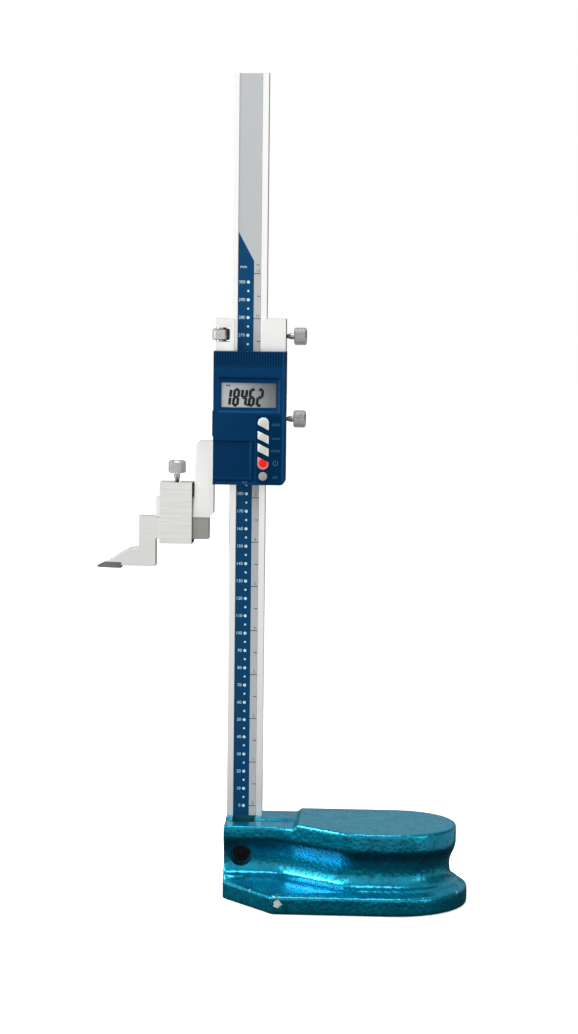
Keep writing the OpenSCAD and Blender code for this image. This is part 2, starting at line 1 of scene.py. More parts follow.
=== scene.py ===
"""Looks of a digital height gauge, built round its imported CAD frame.

Every mesh is drawn in millimetres, in the frame's own axes, and scaled to metres once when it is
made. +X points away from the scriber, +Y away from the user and +Z up the column.
"""

import logging
import math
from abc import ABC, abstractmethod
from dataclasses import dataclass, replace
from enum import Enum
from typing import ClassVar, Iterable, Optional, Sequence, Union

import bmesh
import bpy
from mathutils import Matrix, Vector


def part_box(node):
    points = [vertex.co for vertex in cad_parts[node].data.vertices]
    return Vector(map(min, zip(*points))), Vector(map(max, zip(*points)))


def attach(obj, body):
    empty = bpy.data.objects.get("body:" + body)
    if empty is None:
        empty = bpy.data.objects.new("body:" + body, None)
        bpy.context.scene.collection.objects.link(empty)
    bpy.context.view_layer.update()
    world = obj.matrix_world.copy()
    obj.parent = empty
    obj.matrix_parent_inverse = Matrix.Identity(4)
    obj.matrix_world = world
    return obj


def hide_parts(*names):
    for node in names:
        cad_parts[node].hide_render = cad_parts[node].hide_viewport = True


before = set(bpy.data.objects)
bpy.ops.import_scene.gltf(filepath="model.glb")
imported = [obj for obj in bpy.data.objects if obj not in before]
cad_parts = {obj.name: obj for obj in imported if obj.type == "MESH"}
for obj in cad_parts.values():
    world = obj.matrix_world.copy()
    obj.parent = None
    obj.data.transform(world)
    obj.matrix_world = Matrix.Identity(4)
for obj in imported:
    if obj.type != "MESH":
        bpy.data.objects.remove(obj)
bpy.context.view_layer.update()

LOG = logging.getLogger("height_gauge")
MM = 0.001
WELD = 2e-6
FLAT_ANGLE = 0.6
EDGE_ANGLE = 35
SOFT_CREASE = 20.0
LETTER_BODY = 1.42
LETTER_DEPTH = 0.012

Colour = tuple[float, float, float]
Point = tuple[float, float]
Place = tuple[float, float, float]
Span = tuple[float, float]
Zone = tuple[Place, Place]


class Body(Enum):
    """The CAD bodies that pieces ride on."""

    BASE = "base"
    FINE_BOX = "fine_box"
    FINE_NUT = "fine_nut"
    FINE_LOCK = "fine_lock"
    SLIDER = "slider"
    SLIDER_LOCK = "slider_lock"
    ZERO_KEY = "zero_key"
    UNIT_KEY = "unit_key"
    HOLD_KEY = "hold_key"
    POWER_KEY = "power_key"
    SET_KEY = "set_key"
    BATTERY_DOOR = "battery_door"
    PORT_DOOR = "port_door"
    CLAMP = "clamp"
    CLAMP_SCREW = "clamp_thumb_screw"
    SCRIBER = "scriber"


class Axis(Enum):
    """A direction of the frame, as an index into a point."""

    X = 0
    Y = 1
    Z = 2


@dataclass(frozen=True)
class Box:
    """A CAD node's box at rest, in millimetres."""

    low: Vector
    high: Vector

    @classmethod
    def of(cls, node: str) -> "Box":
        """Measures a CAD node.

        Args:
            node: the node's name.

        Returns:
            Its box.
        """
        low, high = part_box(node)
        return cls(low / MM, high / MM)

    @property
    def centre(self) -> Vector:
        """The middle of the box."""
        return (self.low + self.high) / 2

    def span(self, axis: Axis) -> Span:
        """The lowest and highest place along one axis."""
        return self.low[axis.value], self.high[axis.value]


# ---------------------------------------------------------------- shader tools


Operand = Union["Value", float]
Feed = Union["Value", float, Sequence[float]]


class Value:
    """A shader socket that takes part in Python arithmetic."""

    def __init__(self, graph: "Graph", socket: bpy.types.NodeSocket) -> None:
        """Wraps a socket.

        Args:
            graph: the graph that it belongs to.
            socket: the output socket.
        """
        self.graph = graph
        self.socket = socket

    def __add__(self, other: Operand) -> "Value":
        """self + other."""
        return self.graph.maths("ADD", self, other)

    __radd__ = __add__

    def __sub__(self, other: Operand) -> "Value":
        """self - other."""
        return self.graph.maths("SUBTRACT", self, other)

    def __rsub__(self, other: Operand) -> "Value":
        """other - self."""
        return self.graph.maths("SUBTRACT", other, self)

    def __mul__(self, other: Operand) -> "Value":
        """self * other."""
        return self.graph.maths("MULTIPLY", self, other)

    __rmul__ = __mul__

    def __truediv__(self, other: Operand) -> "Value":
        """self / other."""
        return self.graph.maths("DIVIDE", self, other)

    def __pow__(self, other: Operand) -> "Value":
        """self ** other."""
        return self.graph.maths("POWER", self, other)

    def __abs__(self) -> "Value":
        """abs(self)."""
        return self.graph.maths("ABSOLUTE", self, 0.0)

    def larger(self, other: Operand) -> "Value":
        """The larger of the two."""
        return self.graph.maths("MAXIMUM", self, other)

    def rise(self, low: float, high: float) -> "Value":
        """Goes smoothly from 0 at low to 1 at high.

        Args:
            low: the value that gives 0.
            high: the value that gives 1; it may be the smaller of the two.

        Returns:
            The eased value.
        """
        return self.graph.node(
            "ShaderNodeMapRange",
            {"interpolation_type": "SMOOTHSTEP", "clamp": True},
            {"Value": self, "From Min": low, "From Max": high, "To Min": 0.0, "To Max": 1.0},
        )


class Graph:
    """The nodes of one material, or of the surround."""

    def __init__(self, owner: Union[bpy.types.Material, bpy.types.World]) -> None:
        """Empties the owner's nodes, ready for new ones.

        Args:
            owner: the material or world.
        """
        owner.use_nodes = True
        self.owner = owner
        self.tree = owner.node_tree
        self.tree.nodes.clear()

    @classmethod
    def for_finish(cls, name: str) -> "Graph":
        """Starts an empty material of that name."""
        return cls(bpy.data.materials.new(name))

    def node(
        self,
        kind: str,
        settings: Optional[dict[str, object]] = None,
        inputs: Optional[dict[Union[str, int], Feed]] = None,
        output: Union[str, int] = 0,
    ) -> Value:
        """Adds any node.

        Args:
            kind: the node's type.
            settings: its properties, set before its sockets.
            inputs: socket names or places, with a value or a link for each.
            output: the name or place of the output that is wanted.

        Returns:
            That output.
        """
        made = self.tree.nodes.new(kind)
        for key, value in (settings or {}).items():
            setattr(made, key, value)
        for key, value in (inputs or {}).items():
            socket = made.inputs[key]
            if isinstance(value, Value):
                self.tree.links.new(value.socket, socket)
            elif socket.type == "RGBA" and len(value) == 3:
                socket.default_value = (*value, 1.0)
            else:
                socket.default_value = value
        return Value(self, made.outputs[output])

    def maths(self, operation: str, first: Operand, second: Operand) -> Value:
        """One Math node."""
        return self.node("ShaderNodeMath", {"operation": operation}, {0: first, 1: second})

    def place(self) -> Value:
        """The point on the piece, in metres."""
        return self.node("ShaderNodeTexCoord", output="Object")

    def parts(self, vector: Value) -> list[Value]:
        """The x, y and z of a vector."""
        split = self.node("ShaderNodeSeparateXYZ", inputs={0: vector}).socket.node
        return [Value(self, out) for out in split.outputs]

    def axes(self) -> list[Value]:
        """The point's x, y and z in millimetres."""
        return [part / MM for part in self.parts(self.place())]

    def stretched(self, scale: Place) -> Value:
        """The point on the piece, stretched.

        Args:
            scale: what each of its parts is multiplied by.

        Returns:
            The stretched point.
        """
        return self.node(
            "ShaderNodeVectorMath", {"operation": "MULTIPLY"}, {0: self.place(), 1: scale}, "Vector"
        )

    def noise(
        self, size: float, detail: float = 2.0, rough: float = 0.5, at: Optional[Value] = None
    ) -> Value:
        """Noise from 0 to 1.

        Args:
            size: the size of its blotches in millimetres.
            detail: how many finer layers it has.
            rough: how strong those layers are.
            at: the point to read it at; the piece's own point by default.

        Returns:
            The noise.
        """
        return self.node(
            "ShaderNodeTexNoise",
            {"noise_dimensions": "3D"},
            {
                "Vector": at or self.place(),
                "Scale": 1.0 / (size * MM),
                "Detail": detail,
                "Roughness": rough,
            },
        )

    def streaks(self, grain: Axis, fine: float, length: float) -> Value:
        """Noise drawn out along one axis, as grinding and brushing leave it.

        Args:
            grain: the axis that the lines run along.
            fine: the width of a line in millimetres.
            length: its length in millimetres.

        Returns:
            The noise.
        """
        scale = [1.0 / (fine * MM)] * 3
        scale[grain.value] = 1.0 / (length * MM)
        return self.node(
            "ShaderNodeTexNoise",
            {"noise_dimensions": "3D"},
            {
                "Vector": self.stretched(tuple(scale)),
                "Scale": 1.0,
                "Detail": 3.0,
                "Roughness": 0.6,
            },
        )

    def within(self, zones: Sequence[Zone], edge: float = 0.1) -> Operand:
        """Picks out box-shaped zones.

        Args:
            zones: the low and the high corner of each, in millimetres.
            edge: how far inside its border a zone fades in.

        Returns:
            1 inside any of them and 0 outside.
        """
        total: Operand = 0.0
        for low, high in zones:
            inside: Operand = 1.0
            for part, start, end in zip(self.axes(), low, high):
                entered = part.rise(start, start + edge)
                inside = entered * (1 - part.rise(end - edge, end)) * inside
            total = inside.larger(total)
        return total

    def blend(self, factor: Operand, first: Feed, second: Feed) -> Value:
        """Mixes two colours.

        Args:
            factor: 0 for the first colour to 1 for the second.
            first: the first colour.
            second: the second colour.

        Returns:
            The mixed colour.
        """
        return self.node(
            "ShaderNodeMix", {"data_type": "RGBA"}, {0: factor, 6: first, 7: second}, output=2
        )

    def bump(self, height: Value, depth: float, strength: float = 1.0) -> Value:
        """A normal from a height.

        Args:
            height: the height, from 0 to 1.
            depth: what a height of 1 measures in millimetres.
            strength: how much of the effect shows.

        Returns:
            The normal.
        """
        return self.node(
            "ShaderNodeBump",
            inputs={"Strength": strength, "Distance": depth * MM, "Height": height},
        )

    def surface(self, **inputs: Feed) -> bpy.types.Material:
        """Ends the material with a Principled surface.

        Args:
            inputs: its sockets, with an underscore for each space and each word in lower case.

        Returns:
            The material.
        """
        sockets = {
            key.replace("_", " ").title().replace("Ior", "IOR"): feed
            for key, feed in inputs.items()
        }
        shader = self.node("ShaderNodeBsdfPrincipled", inputs=sockets)
        self.close("ShaderNodeOutputMaterial", shader)
        return self.owner

    def close(self, kind: str, shader: Value) -> None:
        """Adds the output node and feeds a shader to it."""
        out = self.tree.nodes.new(kind)
        self.tree.links.new(shader.socket, out.inputs["Surface"])


# ---------------------------------------------------------------- finishes


class Finish(ABC):
    """A procedural finish. Each is made once, when a piece first asks for it."""

    made: ClassVar[dict["Finish", bpy.types.Material]] = {}

    @abstractmethod
    def build(self) -> bpy.types.Material:
        """Makes the material."""

    def material(self) -> bpy.types.Material:
        """Finds or makes the finish's material.

        Returns:
            The material, shared by every piece that wears the finish.
        """
        if self not in Finish.made:
            Finish.made[self] = self.build()
        return Finish.made[self]


@dataclass(frozen=True)
class HammertonePaint(Finish):
    """Thick metallic paint that dries in small dimples, chipped where the casting gets knocked."""

    deep: Colour = (0.000, 0.125, 0.215)
    middle: Colour = (0.000, 0.250, 0.385)
    bright: Colour = (0.006, 0.420, 0.570)
    # painted shade: a dark band under the overhanging platform, between the heights below
    pool: Colour = (0.000, 0.040, 0.075)
    pool_low: Span = (24.0, 31.0)
    pool_high: Span = (33.5, 36.5)
    pool_depth: float = 0.75
    primer: Colour = (0.62, 0.66, 0.64)
    cell: float = 2.2
    sole_edge: float = 0.9
    flange_edge: Span = (9.3, 10.6)
    knock: Place = (22.6, -65.2, 6.2)
    knock_radius: float = 2.3

    def build(self) -> bpy.types.Material:
        """Makes the material.

        Returns:
            The material.
        """
        graph = Graph.for_finish("hammertone_paint")
        x, y, z = graph.axes()
        cells = graph.node(
            "ShaderNodeTexVoronoi",
            {"feature": "SMOOTH_F1"},
            {
                "Vector": graph.place(),
                "Scale": 1.0 / (self.cell * MM),
                "Smoothness": 0.8,
                "Randomness": 1.0,
            },
            "Distance",
        )
        cloud = graph.noise(9.0, 3.0, 0.6)
        fleck = graph.noise(0.9, 3.0, 0.7)
        shade = cloud * 0.6 + cells * 0.25 + fleck * 0.35
        lower = graph.blend(shade.rise(0.35, 0.62), self.deep, self.middle)
        clear = graph.blend(shade.rise(0.60, 0.95), lower, self.bright)
        # painted shade: the paint turns darker in the band under the platform
        painted_shade_band = z.rise(*self.pool_low) * (1 - z.rise(*self.pool_high)) * self.pool_depth
        paint = graph.blend(painted_shade_band, clear, self.pool)
        chips = self.chips(graph, x, y, z)
        dimples = cells * 0.7 + cloud * 0.5
        return graph.surface(
            base_color=graph.blend(chips, paint, self.primer),
            metallic=(1 - chips) * 0.80,
            roughness=chips * 0.35 + fleck * 0.14 + 0.20,
            coat_weight=(1 - chips) * 0.30,
            coat_roughness=0.14,
            specular_ior_level=0.2,
            specular_tint=(0.35, 0.85, 1.0, 1.0),
            normal=graph.bump(dimples - chips * 0.6, 0.32, 0.9),
        )

    def chips(self, graph: Graph, x: Value, y: Value, z: Value) -> Value:
        """Where the paint has come off.

        Args:
            graph: the material's graph.
            x: the point's x in millimetres.
            y: its y.
            z: its z.

        Returns:
            1 on bare primer and 0 on paint.
        """
        ragged = graph.noise(1.6, 4.0, 0.65)
        rare = graph.noise(9.0, 2.0, 0.5)
        sole = (1 - z.rise(0.0, self.sole_edge)) * (ragged * rare).rise(0.33, 0.36)
        low, high = self.flange_edge
        edge = z.rise(low, low + 0.3) * (1 - z.rise(high - 0.3, high))
        rim = edge * (ragged * rare).rise(0.37, 0.40)
        away = ((x - self.knock[0]) ** 2.0 + (z - self.knock[2]) ** 2.0) ** 0.5
        knock = 1 - (away + ragged * 4.6 - 2.3).rise(self.knock_radius - 0.25, self.knock_radius)
        front = 1 - y.rise(self.knock[1] + 2.0, self.knock[1] + 3.0)
        return sole.larger(rim).larger(knock * front)


@dataclass(frozen=True)
class WorkedSteel(Finish):
    """Bare steel with the lines of its last grinding or brushing, and painted shade in given zones.
    """

    name: str
    grain: Axis
    colour: Colour = (0.74, 0.74, 0.72)
    roughness: float = 0.30
    contrast: float = 0.10
    line: float = 0.12
    length: float = 30.0
    # zones coloured as painted shade, and the colour painted there
    soiled: tuple[Zone, ...] = ()
    soil: Colour = (0.03, 0.03, 0.03)

    def build(self) -> bpy.types.Material:
        """Makes the material.

        Returns:
            The material.
        """
        graph = Graph.for_finish(self.name)
        lines = graph.streaks(self.grain, self.line, self.length)
        broad = graph.streaks(self.grain, self.line * 6, self.length * 1.5)
        smudge = graph.noise(14.0, 3.0, 0.55)
        dark = tuple(c * (1 - self.contrast * 1.8) for c in self.colour)
        tone = (lines * 0.85 + broad * 0.15).rise(0.25, 0.75)
        bare = graph.blend(tone, dark, self.colour)
        return graph.surface(
            # painted shade: inside the zones the steel takes the shade colour
            base_color=graph.blend(graph.within(self.soiled), bare, self.soil),
            metallic=0.8,
            specular_ior_level=0.3,
            roughness=smudge * 0.10 + lines * 0.12 + (self.roughness - 0.10),
            normal=graph.bump(lines, 0.02, 0.35),
        )


@dataclass(frozen=True)
class PlainMetal(Finish):
    """Small turned, plated or blackened metal parts."""

    name: str
    colour: Colour
    roughness: float = 0.3
    tarnish: Colour = (0.3, 0.3, 0.3)
    spread: float = 0.35

    def build(self) -> bpy.types.Material:
        """Makes the material.

        Returns:
            The material.
        """
        graph = Graph.for_finish(self.name)
        stain = graph.noise(2.5, 4.0, 0.6).rise(0.45, 0.85) * self.spread
        grit = graph.noise(0.25, 2.0, 0.5)
        return graph.surface(
            base_color=graph.blend(stain, self.colour, self.tarnish),
            metallic=1.0,
            roughness=grit * 0.12 + stain * 0.3 + (self.roughness - 0.06),
            normal=graph.bump(grit, 0.01, 0.3),
        )


@dataclass(frozen=True)
class NeckedSteel(Finish):
    """A turned steel screw, dark along its neck and bright on its head."""

    name: str
    axis: Axis
    neck: float
    head: float
    colour: Colour = (0.52, 0.52, 0.50)
    oil: Colour = (0.035, 0.033, 0.03)

    def build(self) -> bpy.types.Material:
        """Makes the material.

        Returns:
            The material.
        """
        graph = Graph.for_finish(self.name)
        along = graph.axes()[self.axis.value]
        grit = graph.noise(0.3, 3.0, 0.6)
        stain = graph.noise(2.0, 4.0, 0.6).rise(0.5, 0.85) * 0.3
        dark = (1 - (along + grit * 1.2 - 0.6).rise(self.neck, self.head)).larger(stain)
        return graph.surface(
            base_color=graph.blend(dark, self.colour, self.oil),
            metallic=1.0,
            roughness=grit * 0.12 + dark * 0.1 + 0.20,
            normal=graph.bump(grit, 0.01, 0.3),
        )


@dataclass(frozen=True)
class MouldedPlastic(Finish):
    """Injection-moulded plastic with a fine spark-eroded texture."""

    name: str
    colour: Colour
    roughness: float = 0.38
    gloss: float = 0.12
    texture: float = 0.18
    variation: float = 0.12
    tint: Colour = (1.0, 1.0, 1.0)
    shaded: tuple[Zone, ...] = ()

    def build(self) -> bpy.types.Material:
        """Makes the material.

        Returns:
            The material.
        """
        graph = Graph.for_finish(self.name)
        grit = graph.noise(self.texture, 3.0, 0.6)
        cloud = graph.noise(11.0, 2.0, 0.5)
        pale = tuple(c * 1.5 for c in self.colour)
        dark = tuple(c * 0.35 for c in self.colour)
        clean = graph.blend(cloud * self.variation * 2, self.colour, pale)
        return graph.surface(
            # painted shade: the colour darkens inside the shaded zones
            base_color=graph.blend(graph.within(self.shaded), clean, dark),
            roughness=grit * 0.14 + cloud * 0.08 + (self.roughness - 0.11),
            specular_ior_level=self.gloss,
            specular_tint=(*self.tint, 1.0),
            normal=graph.bump(grit, 0.02, 0.35),
        )


@dataclass(frozen=True)
class PrintedScale(Finish):
    """The film on the column: a dark blue band beside a silver one, cut off by a slanting line."""

    left: float
    split: float
    top_left: float
    top_right: float
    blue: Colour = (0.0004, 0.046, 0.130)
    silver: Colour = (0.455, 0.475, 0.485)

    def build(self) -> bpy.types.Material:
        """Makes the material.

        Returns:
            The material.
        """
        graph = Graph.for_finish("printed_scale")
        x, _, z = graph.axes()
        slope = (self.top_right - self.top_left) / (self.split - self.left)
        limit = (x - self.left) * slope + self.top_left
        band = (1 - x.rise(self.split - 0.04, self.split + 0.04)) * (limit - z).rise(-0.05, 0.05)
        cloud = graph.noise(5.0, 3.0, 0.6)
        fleck = graph.noise(0.35, 2.0, 0.5)
        blue = graph.blend(cloud * 0.5 + fleck * 0.3, self.blue, (0.001, 0.062, 0.165))
        silver = graph.blend(cloud * 0.5, self.silver, (0.52, 0.54, 0.545))
        return graph.surface(
            base_color=graph.blend(band, silver, blue),
            roughness=fleck * 0.12 + 0.34,
            specular_ior_level=0.10,
            normal=graph.bump(fleck, 0.01, 0.25),
        )


@dataclass(frozen=True)
class KeyPlastic(Finish):
    """A key cap: translucent plastic, paler round its rim."""

    name: str
    centre: Place
    core: Colour
    rim: Colour
    reach: Span = (1.9, 3.1)

    def build(self) -> bpy.types.Material:
        """Makes the material.

        Returns:
            The material.
        """
        graph = Graph.for_finish(self.name)
        x, _, z = graph.axes()
        away = ((x - self.centre[0]) ** 2.0 + (z - self.centre[2]) ** 2.0) ** 0.5
        grit = graph.noise(0.3, 3.0, 0.6)
        edge = (away + grit * 0.5 - 0.25).rise(*self.reach)
        return graph.surface(
            base_color=graph.blend(edge, self.core, self.rim),
            roughness=grit * 0.1 + 0.25,
            specular_ior_level=0.25,
            normal=graph.bump(grit, 0.01, 0.3),
        )


@dataclass(frozen=True)
class LiquidCrystal(Finish):
    """The grey field of the display, with painted light and shade: lighter towards its lower left.
    """

    low: Place
    high: Place
    pale: Colour = (0.66, 0.70, 0.70)
    dusk: Colour = (0.155, 0.170, 0.180)

    def build(self) -> bpy.types.Material:
        """Makes the material.

        Returns:
            The material.
        """
        graph = Graph.for_finish("liquid_crystal")
        x, _, z = graph.axes()
        across = (x - self.low[0]) / (self.high[0] - self.low[0])
        up = (z - self.low[2]) / (self.high[2] - self.low[2])
        grain = graph.noise(0.45, 3.0, 0.7)
        # painted light and shade: the field fades from lit lower left to shaded right
        light_falloff = (across * 0.85 + up * 0.16 + grain * 0.16 - 0.08).rise(0.12, 1.02)
        return graph.surface(
            base_color=graph.blend(light_falloff, self.pale, self.dusk),
            roughness=grain * 0.1 + 0.42,
            normal=graph.bump(grain, 0.005, 0.2),
        )


@dataclass(frozen=True)
class ClearWindow(Finish):
    """A thin clear plate that mostly shows what is behind it."""

    def build(self) -> bpy.types.Material:
        """Makes the material.

        Returns:
            The material.
        """
        graph = Graph.for_finish("clear_window")
        haze = graph.noise(6.0, 3.0, 0.6)
        return graph.surface(
            base_color=(0.03, 0.04, 0.05),
            roughness=haze * 0.06 + 0.02,
            alpha=haze * 0.05 + 0.05,
            specular_ior_level=0.25,
        )


@dataclass(frozen=True)
class PrintInk(Finish):
    """Screen-printed marks, a little uneven."""

    name: str
    colour: Colour
    worn: Colour

    def build(self) -> bpy.types.Material:
        """Makes the material.

        Returns:
            The material.
        """
        graph = Graph.for_finish(self.name)
        patch = graph.noise(0.6, 3.0, 0.6)
        return graph.surface(
            base_color=graph.blend(patch.rise(0.35, 0.8), self.colour, self.worn),
            roughness=patch * 0.2 + 0.45,
            specular_ior_level=0.2,
            normal=graph.bump(patch, 0.005, 0.3),
        )


@dataclass(frozen=True)
class CircuitLaminate(Finish):
    """Green solder mask over copper tracks."""

    mask: Colour = (0.01, 0.11, 0.05)
    track: Colour = (0.03, 0.22, 0.09)

    def build(self) -> bpy.types.Material:
        """Makes the material.

        Returns:
            The material.
        """
        graph = Graph.for_finish("circuit_laminate")
        tracks = graph.node(
            "ShaderNodeTexVoronoi",
            {"feature": "DISTANCE_TO_EDGE"},
            {"Vector": graph.place(), "Scale": 1.0 / (3.0 * MM)},
            "Distance",
        )
        line = 1 - tracks.rise(0.04, 0.07)
        grit = graph.noise(0.4, 2.0, 0.5)
        return graph.surface(
            base_color=graph.blend(line, self.mask, self.track),
            roughness=grit * 0.15 + 0.25,
            coat_weight=0.3,
            normal=graph.bump(line, 0.03, 0.6),
        )


@dataclass(frozen=True)
class StudioPaper(Finish):
    """Evenly lit paper under the gauge."""

    name: str
    tone: float
    glow: float

    def build(self) -> bpy.types.Material:
        """Makes the material.

        Returns:
            The material.
        """
        graph = Graph.for_finish(self.name)
        fibre = graph.noise(2.0, 4.0, 0.6)
        return graph.surface(
            base_color=graph.blend(fibre, (self.tone,) * 3, (self.tone * 1.04,) * 3),
            roughness=0.9,
            specular_ior_level=0.1,
            emission_color=(1.0, 1.0, 1.0),
            emission_strength=self.glow,
        )


class Finishes:
    """The gauge's own finishes, by the names a maker would use."""

    PAINT = HammertonePaint()
    COLUMN = WorkedSteel(
        "column_steel",
        Axis.Z,
        (0.97, 0.97, 0.95),
        contrast=0.04,
        line=0.10,
        length=60.0,
        # painted shade and painted teal reflection: the column is coloured dark teal below the
        # casting's top
        soiled=(((-12.0, -20.0, 0.0), (12.0, 20.0, 42.4)),),
        soil=(0.04, 0.30, 0.38),
    )
    FACE = WorkedSteel("ground_steel", Axis.Z, (0.93, 0.93, 0.91), contrast=0.05, length=22.0)
    SLEEVE = WorkedSteel(
        "brushed_steel", Axis.X, (0.91, 0.91, 0.88), contrast=0.14, line=0.14, length=14.0
    )
    KNURL = PlainMetal("knurled_steel", (0.52, 0.52, 0.50), 0.20, (0.08, 0.08, 0.07), 0.30)
    ZINC = PlainMetal("zinc_plate", (0.62, 0.63, 0.65), 0.3)
    BLACK = PlainMetal("black_oxide", (0.02, 0.02, 0.022), 0.35, (0.08, 0.07, 0.06))
    BRASS = PlainMetal("brass", (0.72, 0.53, 0.24), 0.3, (0.30, 0.20, 0.08))
    CELL = PlainMetal("cell_can", (0.72, 0.72, 0.74), 0.22)
    CARBIDE = PlainMetal("carbide", (0.17, 0.17, 0.17), 0.33, (0.20, 0.20, 0.20))
    BLUE = MouldedPlastic(
        "blue_housing", (0.0004, 0.0225, 0.072), 0.27, 0.50, tint=(0.08, 0.40, 1.0)
    )
    BLUE_COVER = MouldedPlastic(
        "blue_cover", (0.0003, 0.0150, 0.052), 0.27, 0.35, tint=(0.08, 0.40, 1.0)
    )
    BLACK_PLASTIC = MouldedPlastic("black_plastic", (0.02, 0.02, 0.022), 0.45)
    RUBBER = MouldedPlastic("grey_rubber", (0.34, 0.34, 0.33), 0.7, 0.0)
    LAMINATE = MouldedPlastic("grating_laminate", (0.36, 0.26, 0.10), 0.4)
    FILM = MouldedPlastic(
        "keypad_film", (0.0003, 0.0210, 0.066), 0.30, 0.10, 0.1, tint=(0.1, 0.5, 1.0)
    )
    BOARD = CircuitLaminate()
    WINDOW = ClearWindow()
    PALE_INK = PrintInk("pale_ink", (0.62, 0.86, 0.95), (0.42, 0.68, 0.82))
    DARK_INK = PrintInk("dark_ink", (0.015, 0.020, 0.045), (0.05, 0.06, 0.10))
    LABEL_INK = PrintInk("label_ink", (0.040, 0.18, 0.38), (0.012, 0.09, 0.23))
    SEGMENT_INK = PrintInk("segment_ink", (0.008, 0.008, 0.010), (0.02, 0.02, 0.02))


# ---------------------------------------------------------------- mesh tools


def scene_link(made: bpy.types.Object) -> bpy.types.Object:
    """Puts an object in the scene."""
    bpy.context.scene.collection.objects.link(made)
    return made


def settled(made: bpy.types.Object) -> bpy.types.Mesh:
    """Turns an object and its modifiers into a plain mesh.

    Args:
        made: the object, which is removed.

    Returns:
        The mesh that it evaluates to.
    """
    depsgraph = bpy.context.evaluated_depsgraph_get()
    depsgraph.update()
    mesh = bpy.data.meshes.new_from_object(made.evaluated_get(depsgraph))
    bpy.data.objects.remove(made)
    return mesh


def shade(mesh: bpy.types.Mesh, crease: float = 32.0) -> bpy.types.Mesh:
    """Smooths a mesh between its sharp edges.

    Args:
        mesh: the mesh.
        crease: the angle in degrees past which an edge stays sharp.

    Returns:
        The same mesh.
    """
    mesh.polygons.foreach_set("use_smooth", [True] * len(mesh.polygons))
    mesh.set_sharp_from_angle(angle=math.radians(crease))
    return mesh


class Align(Enum):
    """Which end of a text its place refers to."""

    CENTER = "CENTER"
    RIGHT = "RIGHT"


class Draft:
    """A closed mesh being drawn in millimetres."""

    merge: ClassVar[float] = 1e-3
    point: ClassVar[float] = 1e-4

    def __init__(self) -> None:
        """Starts with nothing drawn."""
        self.bm = bmesh.new()

    def _loop(self, points: Iterable[Vector]) -> list[bmesh.types.BMVert]:
        """Adds the points of one ring."""
        return [self.bm.verts.new(p) for p in points]

    def _skin(self, rings: Sequence[Sequence[bmesh.types.BMVert]]) -> None:
        """Joins each ring to the next with quads.

        Args:
            rings: the rings' vertices, with as many in each.
        """
        for first, second in zip(rings, rings[1:]):
            count = len(first)
            for i in range(count):
                j = (i + 1) % count
                self.bm.faces.new((first[i], first[j], second[j], second[i]))

    def loft(self, rings: Sequence[Sequence[Vector]]) -> "Draft":
        """Joins rings of equal length and closes both ends.

        Args:
            rings: the rings, from one end to the other.

        Returns:
            This draft.
        """
        made = [self._loop(ring) for ring in rings]
        self._skin(made)
        self.bm.faces.new(reversed(made[0]))
        self.bm.faces.new(made[-1])
        return self

    def prism(self, outline: Sequence[Point], axis: Axis, span: Span) -> "Draft":
        """Extrudes an outline.

        Args:
            outline: points in the other two axes, in the order of those axes.
            axis: the axis to extrude along.
            span: where the extrusion starts and ends.

        Returns:
            This draft.
        """
        rings = []
        for level in span:
            ring = []
            for first, second in outline:
                point = [first, second]
                point.insert(axis.value, level)
                ring.append(Vector(point))
            rings.append(ring)
        return self.loft(rings)

    def block(self, x: Span, y: Span, z: Span) -> "Draft":
        """A block between two places along each axis."""
        outline = [(x[0], y[0]), (x[1], y[0]), (x[1], y[1]), (x[0], y[1])]
        return self.prism(outline, Axis.Z, z)

    def lathe(self, profile: Sequence[Point], steps: int = 48) -> "Draft":
        """Turns a profile round the Z axis.

        Args:
            profile: radius and height of each point, from one end to the other; a radius of 0
                closes the end to a point.
            steps: how many faces go round.

        Returns:
            This draft.
        """
        rings = []
        for radius, height in profile:
            r = max(radius, self.point)
            turns = (2 * math.pi * i / steps for i in range(steps))
            rings.append([Vector((r * math.cos(a), r * math.sin(a), height)) for a in turns])
        return self.loft(rings)

    def absorb(self, mesh: bpy.types.Mesh, place: Matrix = Matrix.Identity(4)) -> "Draft":
        """Adds a mesh that is already in millimetres, and frees it.

        Args:
            mesh: the mesh.
            place: where to put it.

        Returns:
            This draft.
        """
        mesh.transform(place)
        self.bm.from_mesh(mesh)
        bpy.data.meshes.remove(mesh)
        return self

    def moved(self, place: Matrix) -> "Draft":
        """Moves all that is drawn."""
        bmesh.ops.transform(self.bm, matrix=place, verts=self.bm.verts)
        return self

    def bare(self, name: str) -> bpy.types.Mesh:
        """The mesh, still in millimetres, with its normals outwards. It ends the draft.

        Args:
            name: its name.

        Returns:
            The mesh.
        """
        bmesh.ops.remove_doubles(self.bm, verts=self.bm.verts, dist=self.merge)
        bmesh.ops.recalc_face_normals(self.bm, faces=self.bm.faces)
        mesh = bpy.data.meshes.new(name)
        self.bm.to_mesh(mesh)
        self.bm.free()
        return mesh

    def mesh(self, name: str, crease: float = 32.0) -> bpy.types.Mesh:
        """The finished mesh in metres.

        Args:
            name: its name.
            crease: the angle in degrees past which an edge stays sharp.

        Returns:
            The mesh.
        """
        made = self.bare(name)
        made.transform(Matrix.Scale(MM, 4))
        return shade(made, crease)


def turned_to(axis: Axis, place: Place) -> Matrix:
    """Turns what is drawn along +Z to point along an axis, and puts it in place.

    Args:
        axis: the axis to point along.
        place: where the drawing's origin goes.

    Returns:
        The transform.
    """
    turns = {
        Axis.X: Matrix.Rotation(math.radians(90), 4, "Y"),
        Axis.Y: Matrix.Rotation(math.radians(-90), 4, "X"),
        Axis.Z: Matrix.Identity(4),
    }
    return Matrix.Translation(place) @ turns[axis]


def facing_user(place: Place) -> Matrix:
    """Stands a flat drawing upright, facing -Y, with its origin in place."""
    return Matrix.Translation(place) @ Matrix.Rotation(math.radians(90), 4, "X")


